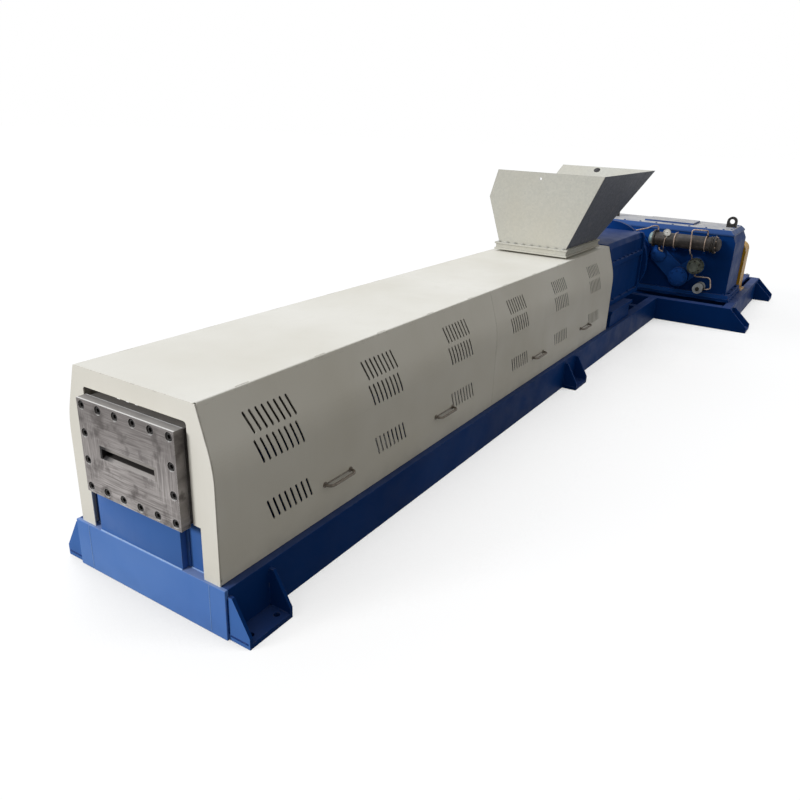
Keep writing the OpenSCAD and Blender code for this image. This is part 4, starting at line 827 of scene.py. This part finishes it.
def hopper_welds():
    """Beads up a corner of the hopper and along its seat on the collar, and the collar's bolts."""
    shape = Shape()
    low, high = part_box("hopper_front_wall")
    collar_low, collar_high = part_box("hopper_collar")
    top_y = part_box("hopper_right_wall")[0].y
    seat = low.z
    foot_y = collar_low.y + COLLAR_LEDGE
    foot = (high.x, foot_y + CORNER_IN, seat + CORNER_LOW)
    shape.weld(foot, (high.x, top_y + CORNER_IN, high.z - CORNER_TOP), CORNER_BEAD)
    for y in spread(foot_y + 0.02, -foot_y - 0.06, 7):
        shape.weld((low.x, y, seat), (low.x, y + 0.045, seat), SEAT_BEAD)
    for x in spread(low.x + 0.03, collar_high.x - 0.10, 6):
        shape.weld((x, foot_y, seat), (x + 0.05, foot_y, seat), SEAT_BEAD)
    shape.done("hopper_welds", "galvanised_sheet", "galvanised_sheet")
    bolts = Shape()
    z = collar_high.z
    for y in spread(collar_low.y + COLLAR_BOLT_END, collar_high.y - COLLAR_BOLT_END, 9):
        bolts.upright(collar_low.x + COLLAR_BOLT_IN, y, z, M10)
        bolts.upright(collar_high.x - COLLAR_BOLT_IN, y, z, M10)
    bolts.done("collar_bolts", "bare_steel", "bolt_zinc")


# Feed housing: its flanges, and the bolts' distances from its side and ends; thrust housing: its bolts
SPLIT_Z = AXIS_Z + 0.114 + 0.020
HOUSING_FOOT_T = 0.040
HOUSING_BOLT_IN, HOUSING_BOLT_END = 0.0095, 0.09
THRUST_FLANGE_T, THRUST_RING_R = 0.050, 0.315


def housing_bolts():
    """Bolts on the feed housing's flanges and the ring of bolts on the thrust housing."""
    lo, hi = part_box("feed_housing")
    first, last = lo.x + HOUSING_BOLT_END, hi.x - HOUSING_BOLT_END
    shape = Shape()
    for side in (-1, 1):
        y = side * (hi.y - HOUSING_BOLT_IN)
        for count, z in ((8, SPLIT_Z), (5, lo.z + HOUSING_FOOT_T)):
            for x in spread(first, last, count):
                shape.upright(x, y, z, M10)
    shape.done("housing_bolts", "blue_paint", "blue_paint")
    flange = Shape()
    centre = Vector((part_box("thrust_housing")[0].x + THRUST_FLANGE_T, 0, AXIS_Z))
    flange.bolts(ring_of(centre, X_AXIS, THRUST_RING_R, 20, 0.16), X_AXIS, M20)
    flange.done("thrust_bolts", "bare_steel", "bolt_zinc")


# Gearbox: lid and foot, and where their bolts lie
LID_T = 0.050
LID_SLOPE = 0.036
LID_BOLT_IN = LID_SLOPE + 0.016
LID_FRONT_END, LID_SIDE_END = 0.11, 0.12
CASE_FOOT_T = 0.035
FOOT_FRONT_X, FOOT_REAR_X = 5.835, 6.465
# Front caps: centre, radius and number of bolts
CAPS = ((Vector((5.76, -0.505, 0.385)), 0.078, 8), (Vector((5.82, -0.29, 0.56)), 0.068, 6))
CAP_T, CAP_RIM, CAP_EDGE, CAP_BOLT_IN = 0.012, 0.009, 0.004, 0.014
# Rear caps: centre, radius of the ring of bolts, number of bolts and their size
REAR_RINGS = ((Vector((6.478, 0, AXIS_Z)), 0.140, 8, M14), (Vector((6.48, -0.640, AXIS_Z)), 0.066, 6, M10))


def gearbox_bolts():
    """Bolts on the gearbox lid, foot and caps, and the two front caps."""
    shape = Shape()
    lo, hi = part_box("gearbox_lid")
    case_low, case_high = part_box("gearbox_case")
    top = case_high.z + LID_T
    for y in spread(lo.y + LID_FRONT_END, hi.y - LID_FRONT_END, 8):
        shape.upright(lo.x + LID_BOLT_IN, y, top, M10)
    for x in spread(lo.x + LID_SIDE_END, hi.x - LID_SIDE_END, 4):
        for y in (lo.y + LID_BOLT_IN, hi.y - LID_BOLT_IN):
            shape.upright(x, y, top, M10)
    shape.done("lid_bolts", "blue_paint", "dusty_blue")
    shape = Shape()
    foot_z = case_low.z + CASE_FOOT_T
    for y in spread(case_low.y + 0.05, case_high.y - 0.06, 7):
        shape.upright(FOOT_FRONT_X, y, foot_z, M14)
        shape.upright(FOOT_REAR_X, y, foot_z, M14)
    for x in spread(5.95, 6.35, 3):
        shape.upright(x, case_low.y + 0.015, foot_z, M14)
    for centre, radius, bolts in CAPS:
        shape.turned([(radius, 0), (radius, CAP_RIM), (radius - CAP_EDGE, CAP_T)], centre, -X_AXIS, 48)
        places = ring_of(centre - X_AXIS * CAP_T, -X_AXIS, radius - CAP_BOLT_IN, bolts, 0.2)
        shape.bolts(places, -X_AXIS, M9)
    for centre, radius, bolts, size in REAR_RINGS:
        shape.bolts(ring_of(centre, X_AXIS, radius, bolts, 0.2), X_AXIS, size)
    shape.done("gearbox_bolts", "blue_paint", "case_blue")


# Oil unit: the cooler's straps, flange bolts and rings, and where the pipes run
STRAP_R, STRAP_GAP = 0.005, 0.005
STRAP_TOP_LEG, STRAP_LOW_LEG = 0.055, 0.040
FLANGE_RING_R = 0.0705
END_RING = ((0.071, 0), (0.0735, 0.002), (0.0735, 0.007), (0.071, 0.009))
END_RINGS = (0.022, 0.040)
PIPE_BEND = 0.03
PIPE_FRONT = COOLER_X - COOLER_R - 0.019
COOLER_TOP = 0.782
OVER_PIPE = [(5.770, -0.606, 0.553), (5.745, -0.602, 0.600), (PIPE_FRONT, -0.594, 0.640),
             (PIPE_FRONT, -0.582, 0.846), (PIPE_FRONT + 0.02, -0.690, 0.846), (COOLER_X, -0.708, 0.840),
             (COOLER_X, -0.708, COOLER_TOP)]
UNDER_PIPE = [(5.770, -0.655, 0.440), (5.745, -0.657, 0.414), (5.712, -0.803, 0.424), (5.712, -0.824, 0.318),
              (5.725, -0.752, 0.310)]
LONG_PIPE = [(5.235, -0.100, 0.792), (5.235, -0.110, 0.815), (5.300, -0.148, 0.822), (5.600, -0.197, 0.822),
             (5.690, -0.225, 0.840), (COOLER_X, -0.265, 0.836), (COOLER_X, -0.265, COOLER_TOP)]
DRAIN = [(COOLER_X, -0.298, COOLER_Z - COOLER_R + 0.004), (COOLER_X, -0.298, 0.620),
         (COOLER_X, -0.340, 0.607)]
CAPILLARY = [(5.684, -0.358, 0.757), (5.666, -0.354, 0.740), (5.662, -0.350, 0.690), (5.682, -0.348, 0.640),
             (5.720, -0.338, 0.608), (COOLER_X, -0.336, 0.608)]
# Union nut: profile, and how far it laps over the end of its pipe
UNION = ((0.014, 0), (0.014, 0.018), (0.011, 0.021), (0.011, 0.026))
UNION_LAP = 0.006
GAUGE_FOOT = Vector((5.681, -0.362, 0.749))
GAUGE_R = 0.0315


def cooler_trim():
    """Straps and flange bolts of the oil cooler, and the rings at its end."""
    metal = Shape()
    turns = [math.radians(a) for a in range(80, 285, 10)]
    reach = COOLER_R + STRAP_GAP
    for y in SADDLES:
        arc = [Vector((COOLER_X + reach * math.cos(a), y, COOLER_Z + reach * math.sin(a))) for a in turns]
        first = arc[0] + X_AXIS * STRAP_TOP_LEG
        last = arc[-1] + X_AXIS * STRAP_LOW_LEG
        metal.swept([first] + arc + [last], STRAP_R, 8)
    for y, axis in ((COOLER_Y[0], Y_AXIS), (COOLER_Y[1], -Y_AXIS)):
        metal.bolts(ring_of(Vector((COOLER_X, y, COOLER_Z)), axis, FLANGE_RING_R, 8, 0.25), axis, M7)
    metal.done("cooler_straps", "bare_steel", "pipe_metal")
    rings = Shape()
    for inset in END_RINGS:
        rings.turned(END_RING, Vector((COOLER_X, COOLER_Y[1] + inset, COOLER_Z)), Y_AXIS, 48)
    rings.done("cooler_rings", "dark_iron", "dark_iron")


def oil_pipes():
    """Pipes of the oil unit with their unions, and the fasteners of the pump and the filter."""
    pipes = Shape()
    for route, bend, radius, sides in ((OVER_PIPE, PIPE_BEND, 0.0065, 10), (UNDER_PIPE, PIPE_BEND, 0.006, 10),
                                       (LONG_PIPE, PIPE_BEND, 0.006, 10), (DRAIN, 0.02, 0.007, 10),
                                       (CAPILLARY, PIPE_BEND, 0.0028, 8)):
        pipes.swept(rounded_path(route, bend), radius, sides)
    pipes.done("oil_pipes", "bare_steel", "pipe_metal")
    unions = Shape()
    for at, axis in ((OVER_PIPE[0], -X_AXIS), (OVER_PIPE[-1], Z_AXIS), (UNDER_PIPE[0], -X_AXIS),
                     (UNDER_PIPE[-1], -Y_AXIS), (LONG_PIPE[0], Z_AXIS), (LONG_PIPE[-1], Z_AXIS),
                     (DRAIN[0], -Z_AXIS)):
        unions.turned(UNION, Vector(at) - axis * UNION_LAP, axis, 6)
    lo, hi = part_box("oil_pump")
    pump = Vector((hi.x - 0.018, (lo.y + hi.y) / 2, (lo.z + hi.z) / 2))
    unions.bolts(ring_of(pump, -X_AXIS, 0.0695, 6, 0.5), -X_AXIS, M7)
    face = Vector((lo.x + 0.050, pump.y, pump.z))
    for place in ring_of(face, -X_AXIS, 0.052, 6, 0.0):
        unions.socket_head(place, -X_AXIS, 0.007, 0.008)
    lo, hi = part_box("oil_filter")
    canister = Vector((lo.x, (lo.y + hi.y) / 2, (lo.z + hi.z) / 2))
    unions.turned([(0.020, 0), (0.020, 0.010), (0.016, 0.013)], canister, -X_AXIS, 6)
    unions.turned([(0.0475, 0), (0.0475, 0.012), (0.046, 0.014)], canister + X_AXIS * 0.060, X_AXIS, 40)
    unions.done("oil_fittings", "dark_iron", "bolt_black")


def gauge():
    """A pressure gauge on its stem, with ticks and a needle on a white dial."""
    face = Vector((-0.80, -0.52, 0.30)).normalized()
    radius = GAUGE_R
    centre = GAUGE_FOOT + Z_AXIS * (radius + 0.012)
    stem = [GAUGE_FOOT - Z_AXIS * 0.004, GAUGE_FOOT + Z_AXIS * 0.010, centre - face * 0.012]
    case = Shape()
    case.turned([(radius, -0.022), (radius, -0.004), (radius + 0.002, -0.002), (radius + 0.002, 0.003),
                 (radius - 0.002, 0.004), (radius - 0.002, 0.0)], centre, face, 40)
    case.swept(rounded_path(stem, 0.01), 0.006)
    case.done("gauge_case", "dark_iron", "bolt_zinc")
    dial = Shape()
    dial.turned([(radius - 0.003, 0.0), (radius - 0.003, 0.0012), (radius - 0.004, 0.0016)], centre, face, 40)
    dial.done("gauge_dial", "grey_paint", "dial_white")
    marks = Shape()
    basis = turn_to(face)
    middle = centre + face * 0.0022
    for i in range(11):
        a = math.radians(225 - 27 * i)
        ray = basis @ Vector((math.cos(a), math.sin(a), 0))
        marks.swept([middle + ray * radius * 0.66, middle + ray * radius * 0.84], 0.0007, 6)
    ray = basis @ Vector((math.cos(2.2), math.sin(2.2), 0))
    marks.swept([middle - ray * radius * 0.2, middle + ray * radius * 0.7], 0.0008, 6)
    marks.turned([(0.003, 0.001), (0.003, 0.003), (0.002, 0.0035)], centre, face, 16)
    marks.done("gauge_needle", "dark_iron", "bolt_black")


# Heater bands: their number and the gap between them, the clamps' lugs, and the terminal boxes
BANDS, BAND_GAP = 6, 0.070
LUG_OUT, LUG_HALF_X, LUG_HALF_Y = 0.004, 0.018, 0.016
LUG_NEAR, LUG_FAR, LUG_EDGE = 0.004, 0.030, 0.003
LUG_END = 0.06
BOX_HALF_X, BOX_HALF_Y, BOX_SINK, BOX_TOP, BOX_EDGE = 0.050, 0.035, 0.006, 0.045, 0.004
GLAND = ((0.012, 0), (0.012, 0.014), (0.009, 0.020))


def barrel_details():
    """Clamps and terminal boxes on the heater bands."""
    clamps = Shape()
    boxes = Shape()
    lo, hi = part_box("heater_bands")
    pitch = (hi.x - lo.x + BAND_GAP) / BANDS
    radius = (hi.y - lo.y) / 2
    top = AXIS_Z + radius
    for band in range(BANDS):
        x0 = lo.x + band * pitch
        x1 = x0 + pitch - BAND_GAP
        for side in (-1, 1):
            y = side * (radius + LUG_OUT)
            for x in spread(x0 + LUG_END, x1 - LUG_END, 3):
                for low, high in ((-LUG_FAR, -LUG_NEAR), (LUG_NEAR, LUG_FAR)):
                    clamps.slab((x - LUG_HALF_X, y - LUG_HALF_Y, AXIS_Z + low),
                                (x + LUG_HALF_X, y + LUG_HALF_Y, AXIS_Z + high), LUG_EDGE)
                clamps.upright(x, y, AXIS_Z + LUG_FAR, M10)
                clamps.nut_and_stud(Vector((x, y, AXIS_Z - LUG_FAR)), -Z_AXIS, M10, 0.012)
        mid = (x0 + x1) / 2
        boxes.slab((mid - BOX_HALF_X, -BOX_HALF_Y, top - BOX_SINK),
                   (mid + BOX_HALF_X, BOX_HALF_Y, top + BOX_TOP), BOX_EDGE)
        boxes.turned(GLAND, Vector((mid, -BOX_HALF_Y, top + 0.022)), -Y_AXIS, 6)
        for x in (mid - 0.040, mid + 0.040):
            boxes.socket_head(Vector((x, 0, top + 0.044)), Z_AXIS, 0.005, 0.004)
    clamps.done("heater_clamps", "heater_metal", "bolt_zinc")
    boxes.done("heater_terminals", "grey_paint", "grey_paint")


# Coupling guard: half width, corner radius, thickness, clearance of its end sheet and hole for the shaft
GUARD_HALF = 0.320
GUARD_CORNER = 0.080
GUARD_T = 0.004
GUARD_FIT = 0.0005
SHAFT_HOLE = 0.070
# Bolts of the guard and of the motor rails
GUARD_BOLT_Y, GUARD_BOLT_X = 0.015, 0.04
MOTOR_RAIL_W = 0.110
RAIL_BOLT_END, RAIL_BOLT_Y = 0.03, 0.032


def guard_end():
    """Sheet that closes the coupling guard towards the gearbox, with a hole for the shaft."""
    lo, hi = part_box("coupling_guard")
    half = GUARD_HALF - GUARD_T - GUARD_FIT
    corner = GUARD_CORNER - GUARD_T
    low, top = lo.z + 0.002, hi.z - GUARD_T - GUARD_FIT
    edge = [(-half, z) for z in spread(low, top - corner, 8)]
    for centre, first in ((corner - half, 180), (half - corner, 90)):
        for i in range(1, 9):
            a = math.radians(first - 90 * i / 8)
            edge.append((centre + corner * math.cos(a), top - corner + corner * math.sin(a)))
    edge += [(half, z) for z in spread(top - corner, low, 8)[1:]]
    edge += [(y, low) for y in spread(half, -half, 12)[1:-1]]
    hole = []
    for y, z in edge:
        ray = Vector((y, z - AXIS_Z)).normalized() * SHAFT_HOLE
        hole.append((ray.x, AXIS_Z + ray.y))
    middle = (lo.y + hi.y) / 2
    x0 = lo.x + 0.001
    x1 = x0 + SHEET_T
    shape = Shape()
    rings = [(edge, x0), (edge, x1), (hole, x1), (hole, x0)]
    shape.band([[Vector((x, middle + y, z)) for y, z in ring] for ring, x in rings], True)
    shape.done("guard_front_plate", "yellow_paint", "yellow_paint")


def guard_and_rails():
    """Bolts that hold the coupling guard and the motor rails."""
    shape = Shape()
    lo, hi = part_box("coupling_guard")
    for y in (lo.y + GUARD_BOLT_Y, hi.y - GUARD_BOLT_Y):
        for x in (lo.x + GUARD_BOLT_X, hi.x - GUARD_BOLT_X):
            shape.upright(x, y, lo.z + GUARD_T, M10)
    lo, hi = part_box("motor_rails")
    for y in (lo.y + MOTOR_RAIL_W / 2, hi.y - MOTOR_RAIL_W / 2):
        for x in (lo.x + RAIL_BOLT_END, hi.x - RAIL_BOLT_END):
            for side in (-1, 1):
                shape.upright(x, y + side * RAIL_BOLT_Y, hi.z, M14)
    shape.done("bed_bolts", "bare_steel", "bolt_zinc")


def add_camera():
    """The photo's camera."""
    data = bpy.data.cameras.new("photo_camera")
    data.lens = LENS_MM
    data.sensor_width = SENSOR_MM
    data.clip_end = 300
    camera = add_object("photo_camera", data)
    turn = Matrix((CAMERA_RIGHT, CAMERA_UP, CAMERA_BACK)).transposed()
    camera.matrix_world = Matrix.Translation(CAMERA_AT) @ turn.to_4x4()
    bpy.context.scene.camera = camera


def seen_directly(tree):
    """1 for rays from the camera, or from it by gloss or glass; 0 for rays that carry light."""
    path = add_node(tree, "LightPath", {})
    total = path.outputs["Is Camera Ray"]
    for name in ("Is Glossy Ray", "Is Transmission Ray"):
        most = add_node(tree, "Math", {0: total, 1: path.outputs[name]}, operation="MAXIMUM")
        total = most.outputs["Value"]
    return total


def show_and_light(tree, shown, lighting, output):
    """Links one shader for rays that are seen directly, and another for rays that carry light."""
    inputs = {0: seen_directly(tree), 1: lighting.outputs[0], 2: shown.outputs[0]}
    feed(tree, output, {"Surface": add_node(tree, "MixShader", inputs).outputs[0]})


def add_world():
    """An even sky that is white where it is seen."""
    world = bpy.data.worlds.new("studio")
    bpy.context.scene.world = world
    world.use_nodes = True
    tree = world.node_tree
    light = tree.nodes["Background"]
    feed(tree, light, {"Color": WORLD_COLOUR})
    white = add_node(tree, "Background", {"Color": (1, 1, 1, 1)})
    show_and_light(tree, white, light, tree.nodes["World Output"])


def add_floor():
    """A white floor that keeps the object's shadow and throws back little light."""
    half = FLOOR_SIZE / 2
    corners = [(-half, -half, 0), (half, -half, 0), (half, half, 0), (-half, half, 0)]
    data = bpy.data.meshes.new("floor")
    data.from_pydata(corners, [], [(0, 1, 2, 3)])
    material = bpy.data.materials.new("floor")
    material.use_nodes = True
    material.cycles.emission_sampling = "NONE"
    tree = material.node_tree
    tree.nodes.clear()
    bounce = add_node(tree, "BsdfDiffuse", {"Color": FLOOR_BOUNCE})
    shade = add_node(tree, "BsdfDiffuse", {"Color": FLOOR_SHADE})
    open_sky = add_node(tree, "AmbientOcclusion", {"Distance": FLOOR_COVER_REACH}, samples=2)
    inputs = {"Value": open_sky.outputs["AO"], "From Min": FLOOR_CLOSED, "From Max": FLOOR_OPEN,
              "To Max": FLOOR_GLOW}
    level = add_node(tree, "MapRange", inputs)
    glow = add_node(tree, "Emission", {"Strength": level.outputs["Result"]})
    shown = add_node(tree, "AddShader", {0: glow.outputs[0], 1: shade.outputs[0]})
    show_and_light(tree, shown, bounce, add_node(tree, "OutputMaterial", {}))
    data.materials.append(material)
    floor = add_object("floor", data)


def add_lamps():
    """The sun lamps that LAMPS lists."""
    for name, (source, colour, strength, width) in LAMPS.items():
        data = bpy.data.lights.new(name, "SUN")
        data.color = colour
        data.energy = strength
        data.angle = math.radians(width)
        lamp = add_object(name, data)
        lamp.rotation_mode = "QUATERNION"
        lamp.rotation_quaternion = (-source).to_track_quat("-Z", "Y")


bpy.context.scene.view_settings.view_transform = "Standard"
add_camera()
add_world()
add_floor()
add_lamps()
dress_nodes()
soften_edges()
die_bolts()
base_welds()
pedestal_wings()
door_hems()
hinge_liners()
handle_strips()
hopper_welds()
hopper_plug()
housing_bolts()
gearbox_bolts()
cooler_trim()
oil_pipes()
gauge()
barrel_details()
guard_end()
guard_and_rails()
